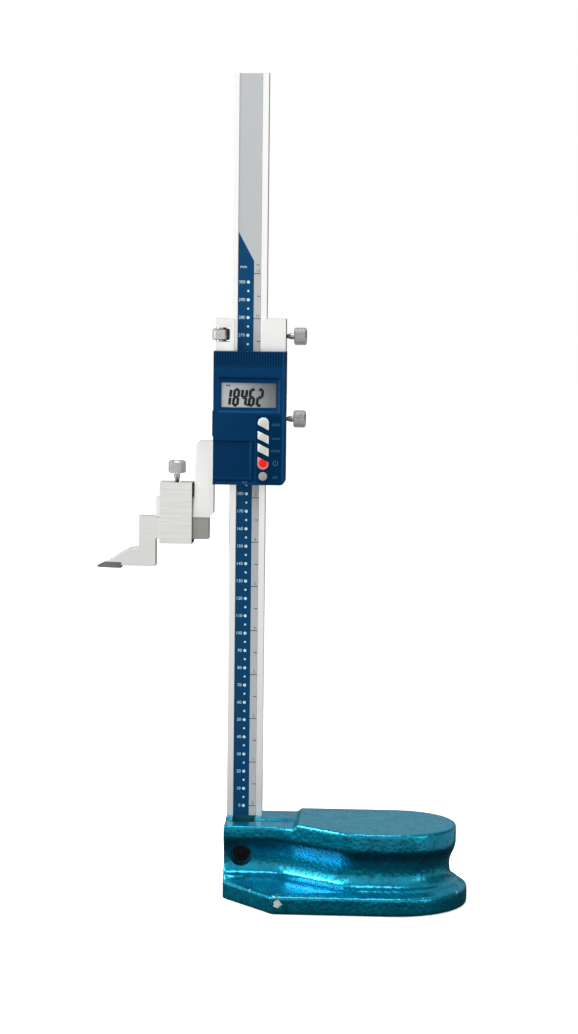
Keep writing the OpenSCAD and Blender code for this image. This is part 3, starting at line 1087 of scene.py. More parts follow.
def softened(node: str, width: float = 0.25, steps: int = 2) -> bpy.types.Mesh:
    """A copy of a CAD node whose edges are rounded.

    Args:
        node: the node's name.
        width: the width of the rounding in millimetres.
        steps: how many faces cross it.

    Returns:
        The copy's mesh, in metres.
    """
    bm = bmesh.new()
    bm.from_mesh(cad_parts[node].data)
    bmesh.ops.remove_doubles(bm, verts=bm.verts, dist=WELD)
    bmesh.ops.dissolve_limit(
        bm, angle_limit=math.radians(FLAT_ANGLE), verts=bm.verts, edges=bm.edges, delimit=set()
    )
    mesh = bpy.data.meshes.new(node + "_soft")
    bm.to_mesh(mesh)
    bm.free()
    made = scene_link(bpy.data.objects.new(mesh.name, mesh))
    bevel = made.modifiers.new("rounding", "BEVEL")
    bevel.width = width * MM
    bevel.segments = steps
    bevel.limit_method = "ANGLE"
    bevel.angle_limit = math.radians(EDGE_ANGLE)
    bevel.use_clamp_overlap = True
    result = settled(made)
    result.name = node + "_soft"
    return shade(result, SOFT_CREASE)


def carved(mesh: bpy.types.Mesh, cutters: Sequence[Draft]) -> bpy.types.Mesh:
    """Cuts shapes out of a mesh that is in millimetres.

    Args:
        mesh: the mesh to cut.
        cutters: what to cut away.

    Returns:
        The cut mesh.
    """
    made = scene_link(bpy.data.objects.new("carved", mesh))
    tools = []
    for number, draft in enumerate(cutters):
        tool = scene_link(bpy.data.objects.new(f"cutter_{number}", draft.bare("cutter")))
        cut = made.modifiers.new(tool.name, "BOOLEAN")
        cut.operation = "DIFFERENCE"
        cut.solver = "EXACT"
        cut.object = tool
        tools.append(tool)
    result = settled(made)
    for tool in tools:
        bpy.data.objects.remove(tool)
    return result


def lettering(text: str, height: float, align: Align = Align.CENTER) -> bpy.types.Mesh:
    """Flat letters in millimetres, in the XY plane and centred on it.

    Args:
        text: what they say.
        height: the height of the letters.
        align: the end of the text that stands at the origin.

    Returns:
        The letters' mesh.
    """
    curve = bpy.data.curves.new("lettering", "FONT")
    curve.body = text
    curve.size = height * LETTER_BODY
    curve.align_x = align.value
    curve.align_y = "CENTER"
    curve.extrude = LETTER_DEPTH
    curve.resolution_u = 3
    return settled(scene_link(bpy.data.objects.new("lettering", curve)))


def place_piece(
    name: str,
    mesh: bpy.types.Mesh,
    finish: Finish,
    body: Body,
    stands_for: Sequence[str] = (),
) -> bpy.types.Object:
    """Puts a finished piece on its body.

    Args:
        name: the piece's name.
        mesh: its mesh, in metres.
        finish: its finish.
        body: the body that it rides on.
        stands_for: the CAD nodes that it replaces.

    Returns:
        The piece.
    """
    mesh.name = name
    mesh.materials.clear()
    mesh.materials.append(finish.material())
    made = scene_link(bpy.data.objects.new(name, mesh))
    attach(made, body.value)
    if stands_for:
        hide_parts(*stands_for)
    LOG.info("%s: %d faces, rides on %s", name, len(mesh.polygons), body.value)
    return made


def dress(node: str, finish: Finish) -> None:
    """Gives a CAD node that stays in view its finish.

    Args:
        node: the node's name.
        finish: its finish.
    """
    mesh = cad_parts[node].data
    mesh.materials.clear()
    mesh.materials.append(finish.material())
    LOG.info("%s: kept from the frame", node)


# ---------------------------------------------------------------- geometry nodes


class Kind(Enum):
    """What a tree's input carries."""

    FLOAT = "NodeSocketFloat"
    INT = "NodeSocketInt"
    VECTOR = "NodeSocketVector"
    MATERIAL = "NodeSocketMaterial"


class Grower:
    """A Geometry Nodes tree with named inputs, which ends in one plain mesh."""

    def __init__(self, name: str) -> None:
        """Starts an empty tree.

        Args:
            name: the tree's name.
        """
        self.tree = bpy.data.node_groups.new(name, "GeometryNodeTree")
        self.tree.interface.new_socket(
            "Geometry", in_out="OUTPUT", socket_type="NodeSocketGeometry"
        )
        self.entry = self.tree.nodes.new("NodeGroupInput")
        self.exit = self.tree.nodes.new("NodeGroupOutput")

    def input(self, name: str, kind: Kind) -> bpy.types.NodeSocket:
        """Adds a named input.

        Args:
            name: the input's name.
            kind: what it carries.

        Returns:
            The socket that carries it.
        """
        self.tree.interface.new_socket(name, in_out="INPUT", socket_type=kind.value)
        return self.entry.outputs[name]

    def node(
        self,
        kind: str,
        settings: Optional[dict[str, object]] = None,
        inputs: Optional[dict[Union[str, int], object]] = None,
        output: Union[str, int] = 0,
    ) -> bpy.types.NodeSocket:
        """Adds any node.

        Args:
            kind: the node's type, without its GeometryNode prefix.
            settings: its properties.
            inputs: socket names or places, with a value or a socket to link for each.
            output: the output that is wanted.

        Returns:
            That output.
        """
        made = self.tree.nodes.new("GeometryNode" + kind)
        for key, value in (settings or {}).items():
            setattr(made, key, value)
        for key, value in (inputs or {}).items():
            if isinstance(value, bpy.types.NodeSocket):
                self.tree.links.new(value, made.inputs[key])
            else:
                made.inputs[key].default_value = value
        return made.outputs[output]

    def end(self, instances: bpy.types.NodeSocket) -> "Grower":
        """Realizes the instances, gives them the material and ends the tree.

        Args:
            instances: the geometry to end with.

        Returns:
            This tree.
        """
        real = self.node("RealizeInstances", inputs={"Geometry": instances})
        material = self.input("Material", Kind.MATERIAL)
        done = self.node("SetMaterial", inputs={"Geometry": real, "Material": material})
        self.tree.links.new(done, self.exit.inputs["Geometry"])
        return self

    def grow(self, values: dict[str, object]) -> bpy.types.Mesh:
        """Runs the tree.

        Args:
            values: a value for each named input.

        Returns:
            The result as a plain mesh.
        """
        host = scene_link(bpy.data.objects.new("host", bpy.data.meshes.new("host")))
        modifier = host.modifiers.new("grow", "NODES")
        modifier.node_group = self.tree
        for item in self.tree.interface.items_tree:
            if item.item_type == "SOCKET" and item.in_out == "INPUT":
                modifier[item.identifier] = values[item.name]
        return settled(host)


class Mark(Enum):
    """The shape of a printed mark."""

    DISC = "disc"
    BAR = "bar"


def mark_row(shape: Mark) -> Grower:
    """A row of equal flat marks, facing -Y.

    Args:
        shape: the shape of each.

    Returns:
        The tree. Its inputs are Count, Start, Step, Size and Material; Size is a disc's diameter
        and thickness, or a bar's width, thickness and height.
    """
    tree = Grower(shape.value + "_row")
    count = tree.input("Count", Kind.INT)
    start = tree.input("Start", Kind.VECTOR)
    step = tree.input("Step", Kind.VECTOR)
    size = tree.input("Size", Kind.VECTOR)
    line = tree.node(
        "MeshLine",
        {"mode": "OFFSET"},
        {"Count": count, "Start Location": start, "Offset": step},
    )
    if shape is Mark.DISC:
        disc = tree.node(
            "MeshCylinder", inputs={"Vertices": 20, "Radius": 0.5, "Depth": 1.0}, output="Mesh"
        )
        mark = tree.node(
            "Transform", inputs={"Geometry": disc, "Rotation": (math.pi / 2, 0.0, 0.0)}
        )
    else:
        mark = tree.node("MeshCube", inputs={"Size": (1.0, 1.0, 1.0)}, output="Mesh")
    row = tree.node("InstanceOnPoints", inputs={"Points": line, "Instance": mark, "Scale": size})
    return tree.end(row)


def rib_ring() -> Grower:
    """Straight ribs round a cylinder, as a knurl.

    Returns:
        The tree. Its inputs are Count, Radius, Rib, Height, Middle and Material.
    """
    tree = Grower("rib_ring")
    count = tree.input("Count", Kind.INT)
    radius = tree.input("Radius", Kind.FLOAT)
    rib = tree.input("Rib", Kind.FLOAT)
    height = tree.input("Height", Kind.FLOAT)
    middle = tree.input("Middle", Kind.VECTOR)
    ring = tree.node("MeshCircle", inputs={"Vertices": count, "Radius": radius}, output="Mesh")
    bar = tree.node(
        "MeshCylinder", inputs={"Vertices": 8, "Radius": rib, "Depth": height}, output="Mesh"
    )
    ribs = tree.node("InstanceOnPoints", inputs={"Points": ring, "Instance": bar})
    moved = tree.node("Transform", inputs={"Geometry": ribs, "Translation": middle})
    return tree.end(moved)


# ---------------------------------------------------------------- base


@dataclass(frozen=True)
class Corner:
    """A corner of an outline and the radius it is rounded to."""

    x: float
    y: float
    radius: float


def rounded(corners: Sequence[Corner], arc: int, side: int) -> list[Vector]:
    """Samples a closed outline.

    Args:
        corners: its corners in order.
        arc: how many steps go round each corner.
        side: how many steps each straight side takes.

    Returns:
        The points, as many for any outline with as many corners.
    """
    points = []
    places = [Vector((c.x, c.y)) for c in corners]
    count = len(corners)
    arcs = []
    for i, corner in enumerate(corners):
        here = places[i]
        back = (places[i - 1] - here).normalized()
        ahead = (places[(i + 1) % count] - here).normalized()
        half = back.angle(ahead) / 2
        reach = corner.radius / math.tan(half)
        start, end = here + back * reach, here + ahead * reach
        bend = [quadratic(start, here, end, k / arc) for k in range(arc + 1)]
        middle = here + (back + ahead).normalized() * (corner.radius / math.sin(half))
        if (back + ahead).length > 1e-6:
            bend = [middle + (p - middle).normalized() * corner.radius for p in bend]
        arcs.append(bend)
    for i, bend in enumerate(arcs):
        points.extend(bend)
        following = arcs[(i + 1) % count][0]
        points.extend(bend[-1].lerp(following, k / side) for k in range(1, side))
    return points


def quadratic(start: Vector, corner: Vector, end: Vector, t: float) -> Vector:
    """A point on the curve from start to end that corner pulls on."""
    return start.lerp(corner, t).lerp(corner.lerp(end, t), t)


def ease(t: float) -> float:
    """Goes smoothly from 0 to 1 as t does."""
    t = min(max(t, 0.0), 1.0)
    return t * t * (3 - 2 * t)


@dataclass(frozen=True)
class BaseCasting:
    """The painted casting: a flange, a waist, and a neck that flares into the platform."""

    left: float = -10.4
    foot_rear: float = 19.75
    foot_front: float = -65.25
    foot_right: float = 128.0
    foot_angle: Point = (19.0, -30.0)
    top_rear: float = 13.0
    top_front: float = -57.0
    top_right: float = 121.5
    neck_front: float = -27.0
    flare: Span = (22.0, 60.0)
    flange: float = 10.2
    crease: float = 13.2
    waist: Span = (20.8, 23.0)
    waist_inset: float = 3.5
    lip: float = 1.6
    shoulder: float = 34.8
    top: float = 44.4
    neck_top: float = 42.4
    ledge_top: float = 41.2
    ledge_y: float = -10.0
    step: Span = (30.5, 34.5)
    slot_foot: float = 12.0
    notch: tuple[Span, Span, float] = ((-6.4, 6.4), (-15.0, -2.9), 33.0)
    screw: Point = (-0.5, 23.8)
    counterbore: float = 6.2
    sole_round: float = 0.8
    edge_round: float = 1.0
    arc_steps: int = 14
    side_steps: int = 10
    wall_steps: int = 34
    beyond: float = 60.0
    cut: Span = (-90.0, 40.0)
    bore_foot: float = -72.0
    grid: float = 0.74
    softening: int = 9

    def foot(self, inset: float) -> list[Vector]:
        """The flange's outline.

        Args:
            inset: how far it is set back.

        Returns:
            Its points.
        """
        r = (self.foot_rear - self.foot_front) / 2 - inset
        x, y = self.foot_angle
        front = self.foot_front + inset
        mid = Vector((x, front)).lerp(Vector((self.left, y)), 0.5)
        return rounded(
            [
                Corner(self.left, self.foot_rear - inset, 2.0),
                Corner(self.foot_right - inset, self.foot_rear - inset, r),
                Corner(self.foot_right - inset, front, r),
                Corner(x + inset / 2, front, 3.0),
                Corner(mid.x, mid.y + inset, 0.01),
                Corner(self.left, y + inset, 2.0),
            ],
            self.arc_steps,
            self.side_steps,
        )

    def neck(self, inset: float) -> list[Vector]:
        """The outline of the neck and platform.

        Args:
            inset: how far it is set back, except at the column's end.

        Returns:
            Its points.
        """
        r = (self.top_rear - self.top_front) / 2 - inset
        front = self.top_front + inset
        return rounded(
            [
                Corner(self.left, self.top_rear - inset, 1.2),
                Corner(self.top_right - inset, self.top_rear - inset, r),
                Corner(self.top_right - inset, front, r),
                Corner(self.flare[1] + 2, front, 24.0),
                Corner(self.flare[0], self.neck_front + inset, 16.0),
                Corner(self.left, self.neck_front + inset, 1.6),
            ],
            self.arc_steps,
            self.side_steps,
        )

    def inset_at(self, z: float) -> float:
        """How far the side is set back from the platform's outline.

        Args:
            z: the height.

        Returns:
            The distance.
        """
        foot, top = self.waist
        if z < foot:
            fall = (foot - z) / (foot - self.crease)
            return self.waist_inset - (self.waist_inset + self.lip) * (1 - math.sqrt(1 - fall**2))
        return self.waist_inset * ease((self.shoulder - z) / (self.shoulder - top))

    def rings(self) -> list[list[Vector]]:
        """The casting's outline at each height, from the sole up.

        Returns:
            The outlines.
        """
        levels = []
        sole, edge = self.sole_round, self.edge_round
        for k in range(3):
            a = math.pi / 2 * k / 2
            levels.append((sole - sole * math.cos(a), self.foot(sole - sole * math.sin(a))))
        for k in range(4):
            a = math.pi / 2 * k / 3
            levels.append((self.flange - edge + math.sin(a), self.foot(edge - math.cos(a))))
        low = self.foot(edge)
        high = self.neck(-self.lip)
        under = self.crease - 0.5
        for k in range(1, 7):
            t = k / 6
            height = self.flange + (under - self.flange) * t
            levels.append((height, [a.lerp(b, t) for a, b in zip(low, high)]))
        wall_top = self.top - edge
        for k in range(self.wall_steps + 1):
            z = self.crease + (wall_top - self.crease) * k / self.wall_steps
            levels.append((z, self.neck(self.inset_at(z))))
        for k in range(1, 4):
            a = math.pi / 2 * k / 3
            levels.append((wall_top + math.sin(a), self.neck(edge - math.cos(a))))
        return [[Vector((p.x, p.y, z)) for p in ring] for z, ring in levels]

    def steps_cut(self) -> list[Draft]:
        """What is cut from the top: the neck's flat, and the ledge in front of the column.

        Returns:
            The cutters.
        """
        over = self.top + 3
        left = self.left - 3
        start, end = self.step
        level = self.ledge_top
        flat = [(left, self.neck_top), (start, self.neck_top), (end, over), (left, over)]
        ledge = [(left, level), (start - 1, level), (end - 0.5, over), (left, over)]
        return [
            Draft().prism(flat, Axis.Y, self.cut),
            Draft().prism(ledge, Axis.Y, (self.cut[0], self.ledge_y)),
        ]

    def machined(self, beam: Box) -> list[Draft]:
        """The slot for the column, the notch before the scale and the clamp screw's seat.

        Args:
            beam: the column's box.

        Returns:
            The cutters.
        """
        notch_x, notch_y, floor = self.notch
        x = beam.span(Axis.X)
        y = beam.span(Axis.Y)
        bore = Draft().lathe([(self.counterbore, 0.0), (self.counterbore, self.beyond)], 56)
        bore.moved(turned_to(Axis.Y, (self.screw[0], self.bore_foot, self.screw[1])))
        slot = Draft().block(
            (self.left - 5, x[1] + 0.05), (y[0] - 0.03, y[1] + 0.03), (self.slot_foot, self.beyond)
        )
        return [slot, Draft().block(notch_x, notch_y, (floor, self.beyond)), bore]

    def build(self) -> None:
        """Makes the casting: lofted, stepped, rounded as castings are, then machined."""
        body = carved(Draft().loft(self.rings()).bare("base"), self.steps_cut())
        made = scene_link(bpy.data.objects.new("base", body))
        remesh = made.modifiers.new("cast", "REMESH")
        remesh.mode = "VOXEL"
        remesh.voxel_size = self.grid
        soften = made.modifiers.new("soften", "SMOOTH")
        soften.factor = 0.5
        soften.iterations = self.softening
        cast = settled(made)
        for vertex in cast.vertices:
            vertex.co.z = min(max(vertex.co.z, 0.0), self.top)
            vertex.co.x = max(vertex.co.x, self.left)
        mesh = carved(cast, self.machined(Box.of("column_beam")))
        mesh.transform(Matrix.Scale(MM, 4))
        place_piece(
            "base_body", shade(mesh, 40.0), Finishes.PAINT, Body.BASE,
            ["base_casting"],
        )
        dress("beam_clamp_screw", Finishes.BLACK)


# ---------------------------------------------------------------- column


@dataclass(frozen=True)
class Column:
    """The ground column and its printed scale: millimetre dots on the left, inch ticks beside."""

    zero: float = 48.1
    dot_x: float = -0.6
    blue_width: float = 8.95
    slant: Span = (376.4, 360.0)
    length: float = 300.0
    inch: float = 25.4
    large_dot: float = 1.75
    small_dot: float = 1.2
    tick: float = 0.42
    numeral: float = 1.75
    unit_rise: float = 8.6
    ink: float = 0.02

    def ink_y(self, film: Box) -> float:
        """Where ink lies on the film."""
        return film.low.y - self.ink / 2

    def light_marks(self, film: Box) -> Draft:
        """The dots and the millimetre numerals.

        Args:
            film: the printed film's box.

        Returns:
            The draft.
        """
        marks = Draft()
        row = mark_row(Mark.DISC)
        y = self.ink_y(film)
        tens = int(self.length / 10)
        rows = [(self.large_dot, self.zero, tens + 1), (self.small_dot, self.zero + 5, tens)]
        for size, start, count in rows:
            marks.absorb(
                row.grow(
                    {
                        "Count": count,
                        "Start": (self.dot_x, y, start),
                        "Step": (0.0, 0.0, 10.0),
                        "Size": (size, self.ink, size),
                        "Material": Finishes.PALE_INK.material(),
                    }
                )
            )
        right = self.dot_x - 1.7
        for value in range(0, int(self.length) + 1, 10):
            place = facing_user((right, y, self.zero + value))
            marks.absorb(lettering(str(value), self.numeral, Align.RIGHT), place)
        unit = (film.low.x + 3.0, y, self.zero + self.length + self.unit_rise)
        return marks.absorb(lettering("mm", self.numeral), facing_user(unit))

    def dark_marks(self, film: Box) -> Draft:
        """The inch ticks and numerals.

        Args:
            film: the printed film's box.

        Returns:
            The draft.
        """
        marks = Draft()
        row = mark_row(Mark.BAR)
        y = self.ink_y(film)
        split = film.low.x + self.blue_width
        edge = film.high.x - 0.05
        wide = edge - split
        inches = int(self.length / self.inch) + 1
        rows = [(wide, self.zero, inches + 1), (wide * 0.52, self.zero + self.inch / 2, inches)]
        for size, start, count in rows:
            fits = [k for k in range(count) if start + k * self.inch < self.zero + self.length + 6]
            marks.absorb(
                row.grow(
                    {
                        "Count": len(fits),
                        "Start": (edge - size / 2, y, start),
                        "Step": (0.0, 0.0, self.inch),
                        "Size": (size, self.ink, self.tick),
                        "Material": Finishes.DARK_INK.material(),
                    }
                )
            )
        for value in range(inches + 1):
            height = self.zero + value * self.inch + self.numeral / 2 + 0.7
            if height < self.zero + self.length + 8:
                place = facing_user((split + wide * 0.58, y, height))
                marks.absorb(lettering(str(value), self.numeral * 0.92), place)
        unit = (split + wide * 0.58, y, self.zero + self.length + self.unit_rise + 1.2)
        return marks.absorb(lettering("in", self.numeral * 0.95), facing_user(unit))

    def build(self) -> None:
        """Dresses the column and prints its scale."""
        film = Box.of("scale_overlay")
        dress("column_beam", Finishes.COLUMN)
        dress("scale_grating", Finishes.LAMINATE)
        scale = PrintedScale(film.low.x, film.low.x + self.blue_width, *self.slant)
        dress("scale_overlay", scale)
        light = self.light_marks(film).mesh("light")
        place_piece("scale_dots_and_numerals", light, Finishes.PALE_INK, Body.BASE)
        dark = self.dark_marks(film).mesh("dark")
        place_piece("inch_ticks_and_numerals", dark, Finishes.DARK_INK, Body.BASE)


# ---------------------------------------------------------------- thumb screws


@dataclass(frozen=True)
class ThumbScrew:
    """A waisted screw with a straight-knurled head, drawn along +Z from its tip."""

    node: str
    body: Body
    axis: Axis
    head: float = 7.0
    neck: float = 4.5
    thread: float = 1.95
    thin: float = 1.2
    thick: float = 1.78
    rib: float = 0.30
    ribs: int = 46
    bevel: float = 0.55

    def build(self) -> None:
        """Makes the screw in the place of its CAD node."""
        box = Box.of(self.node)
        start, end = box.span(self.axis)
        centre = box.centre
        place = [centre.x, centre.y, centre.z]
        place[self.axis.value] = start
        length = end - start
        across = Axis.Z if self.axis is Axis.X else Axis.X
        radius = (box.span(across)[1] - box.span(across)[0]) / 2
        core = radius - self.rib * 0.75
        foot = length - self.head
        waist = foot - self.neck
        draft = Draft()
        draft.lathe(
            [
                (0.0, 0.0), (self.thread - 0.35, 0.0), (self.thread, 0.35),
                (self.thread, waist - 0.5), (self.thin, waist - 0.1),
                (self.thin, waist + self.neck * 0.22), (1.62, waist + self.neck * 0.45),
                (self.thick, waist + self.neck * 0.62), (self.thick, foot),
                (core - self.bevel, foot),
                (core, foot + self.bevel), (core, length - self.bevel),
                (core - self.bevel, length), (0.0, length),
            ]
        )
        draft.absorb(
            rib_ring().grow(
                {
                    "Count": self.ribs,
                    "Radius": radius - self.rib,
                    "Rib": self.rib,
                    "Height": self.head - 2 * self.bevel,
                    "Middle": (0.0, 0.0, foot + self.head / 2),
                    "Material": Finishes.KNURL.material(),
                }
            )
        )
        draft.moved(turned_to(self.axis, tuple(place)))
        mesh = draft.mesh(self.node, 30.0)
        finish = NeckedSteel(self.node + "_steel", self.axis, start + waist, start + foot)
        place_piece(
            self.node + "_knurled", mesh, finish, self.body, [self.node]
        )


@dataclass(frozen=True)
class FineAdjustment:
    """The carriage above the slider, its captive knurled nut and the threaded stud."""

    hub: float = 3.0
    rib: float = 0.28
    ribs: int = 46
    pitch: float = 0.5
    thread_depth: float = 0.28

    def nut(self) -> None:
        """The knurled nut with a hub on each face."""
        box = Box.of("fine_adjust_nut")
        radius = (box.high.x - box.low.x) / 2
        low, high = box.span(Axis.Z)
        core = radius - self.rib * 0.75
        rim = 0.75
        draft = Draft()
        draft.lathe(
            [
                (1.55, low), (self.hub, low), (self.hub, low + rim), (core - 0.5, low + rim),
                (core, low + rim + 0.5), (core, high - rim - 0.5), (core - 0.5, high - rim),
                (self.hub, high - rim), (self.hub, high), (1.55, high),
            ]
        )
        draft.absorb(
            rib_ring().grow(
                {
                    "Count": self.ribs,
                    "Radius": radius - self.rib,
                    "Rib": self.rib,
                    "Height": high - low - 2 * rim - 0.9,
                    "Middle": (0.0, 0.0, (low + high) / 2),
                    "Material": Finishes.KNURL.material(),
                }
            )
        )
        draft.moved(Matrix.Translation((box.centre.x, box.centre.y, 0.0)))
        place_piece(
            "fine_nut_knurled", draft.mesh("nut", 30.0), Finishes.KNURL, Body.FINE_NUT,
            ["fine_adjust_nut"],
        )

    def stud(self) -> None:
        """The stud, with a real helical thread."""
        box = Box.of("fine_adjust_stud")
        radius = (box.high.x - box.low.x) / 2
        low, high = box.span(Axis.Z)
        steps = 20
        rows = int((high - low) / self.pitch * 5)
        rings = []
        for row in range(rows + 1):
            z = low + (high - low) * row / rows
            ring = []
            for i in range(steps):
                turn = i / steps
                wave = abs(((z / self.pitch - turn) % 1.0) - 0.5) * 2
                r = radius - self.thread_depth * wave
                a = 2 * math.pi * turn
                ring.append(Vector((r * math.cos(a), r * math.sin(a), z)))
            rings.append(ring)
        draft = Draft().loft(rings)
        draft.moved(Matrix.Translation((box.centre.x, box.centre.y, 0.0)))
        place_piece(
            "stud_threaded", draft.mesh("stud", 60.0), Finishes.ZINC, Body.SLIDER,
            ["fine_adjust_stud"],
        )

    def build(self) -> None:
        """Makes the carriage and what belongs to it."""
        box = Box.of("fine_adjust_box")
        nut = Box.of("fine_adjust_nut")
        # painted shade: the walls of the slot round the nut are coloured dark
        slot = (
            (box.low.x + 0.35, box.low.y + 0.35, nut.low.z - 0.3),
            (nut.high.x + 2.0, box.high.y - 0.35, nut.high.z + 0.3),
        )
        steel = WorkedSteel(
            "fine_box_steel", Axis.Z, Finishes.FACE.colour, contrast=0.05, length=22.0,
            soiled=(slot,),
        )
        place_piece(
            "fine_box_body", softened("fine_adjust_box"), steel, Body.FINE_BOX,
            ["fine_adjust_box"],
        )
        self.nut()
        self.stud()
        ThumbScrew("fine_lock_screw", Body.FINE_LOCK, Axis.X).build()
        dress("fine_lock_shoe", Finishes.BRASS)


@dataclass(frozen=True)
class Slider:
    """The steel frame with the measuring arm, its back plate, gib and lock screw."""

    plate_edge: float = 0.2

    def build(self) -> None:
        """Makes the frame and dresses what belongs to it."""
        place_piece(
            "slider_frame_body", softened("slider_frame"), Finishes.FACE, Body.SLIDER,
            ["slider_frame"],
        )
        place_piece(
            "back_plate_body", softened("slider_back_plate", self.plate_edge), Finishes.SLEEVE,
            Body.SLIDER, ["slider_back_plate"],
        )
        for node in ("back_plate_screws", "housing_screws"):
            dress(node, Finishes.ZINC)
        dress("gib_set_screws", Finishes.BLACK)
        for node in ("slider_gib", "slider_lock_shoe"):
            dress(node, Finishes.BRASS)
        ThumbScrew("slider_lock_screw", Body.SLIDER_LOCK, Axis.X).build()


# ---------------------------------------------------------------- display unit


class Segment(Enum):
    """The bars of a seven-segment digit, each from one corner of the digit to another."""

    TOP = ((0.0, 1.0), (1.0, 1.0))
    UPPER_RIGHT = ((1.0, 1.0), (1.0, 0.5))
    LOWER_RIGHT = ((1.0, 0.5), (1.0, 0.0))
    BOTTOM = ((0.0, 0.0), (1.0, 0.0))
    LOWER_LEFT = ((0.0, 0.5), (0.0, 0.0))
    UPPER_LEFT = ((0.0, 1.0), (0.0, 0.5))
    MIDDLE = ((0.0, 0.5), (1.0, 0.5))


RIGHT_SIDE = (Segment.UPPER_RIGHT, Segment.LOWER_RIGHT)
DIGITS: dict[str, tuple[Segment, ...]] = {
    "1": RIGHT_SIDE,
    "2": (Segment.TOP, Segment.UPPER_RIGHT, Segment.MIDDLE, Segment.LOWER_LEFT, Segment.BOTTOM),
    "4": (Segment.UPPER_LEFT, Segment.MIDDLE, *RIGHT_SIDE),
    "6": (
        Segment.TOP, Segment.UPPER_LEFT, Segment.MIDDLE, Segment.LOWER_LEFT, Segment.BOTTOM,
        Segment.LOWER_RIGHT,
    ),
    "8": tuple(Segment),
}


@dataclass(frozen=True)
class Readout:
    """The figures of the display."""

    text: str = "184.62"
    width: float = 2.35
    height: float = 8.8
    stroke: float = 1.62
    gap: float = 0.05
    lean: float = 7.0
    pitch: float = 4.46
    first: float = 3.66
    middle: float = 8.1
    ink: float = 0.03

    def bar(self, draft: Draft, start: Vector, end: Vector, y: float) -> None:
        """One segment: a bar with pointed ends.

        Args:
            draft: what it is drawn in.
            start: one end of its middle line, in X and Z.
            end: the other end.
            y: the depth of its front.
        """
        along = (end - start).normalized()
        side = Vector((-along.y, along.x)) * self.stroke / 2
        tip = self.stroke * 0.2
        a, b = start + along * self.gap, end - along * self.gap
        points = [
            a, a + along * tip + side, b - along * tip + side,
            b, b - along * tip - side, a + along * tip - side,
        ]
        draft.prism([(p.x, p.y) for p in points], Axis.Y, (y, y + self.ink))

    def figures(self, glass: Box, face: float) -> Draft:
        """All the dark figures.

        Args:
            glass: the box of the visible window.
            face: the depth of the display's front.

        Returns:
            The draft.
        """
        draft = Draft()
        y = face - self.ink
        foot = glass.high.z - self.middle - self.height / 2
        slant = math.tan(math.radians(self.lean))
        place = 0
        for letter in self.text:
            middle = glass.low.x + self.first + self.pitch * place
            if letter == ".":
                x = middle - self.pitch / 2 - 0.1
                size = self.stroke * 0.55
                draft.block((x - size, x + size), (y, y + self.ink), (foot - 0.35, foot + 0.7))
                continue
            for segment in DIGITS[letter]:
                ends = []
                for across, up in segment.value:
                    x = middle + (across - 0.5) * self.width
                    z = foot + up * self.height
                    ends.append(Vector((x + (up - 0.5) * self.height * slant, z)))
                self.bar(draft, ends[0], ends[1], y)
            place += 1
        left = glass.low.x + 2.5
        top = glass.high.z - 1.1
        draft.block((left, left + 0.95), (y, y + self.ink), (top - 0.75, top))
        draft.block((left + 1.15, left + 2.3), (y, y + self.ink), (top - 0.7, top - 0.05))
        return draft


@dataclass(frozen=True)
class KeyLabel:
    """What is printed beside a key."""

    node: str
    text: str


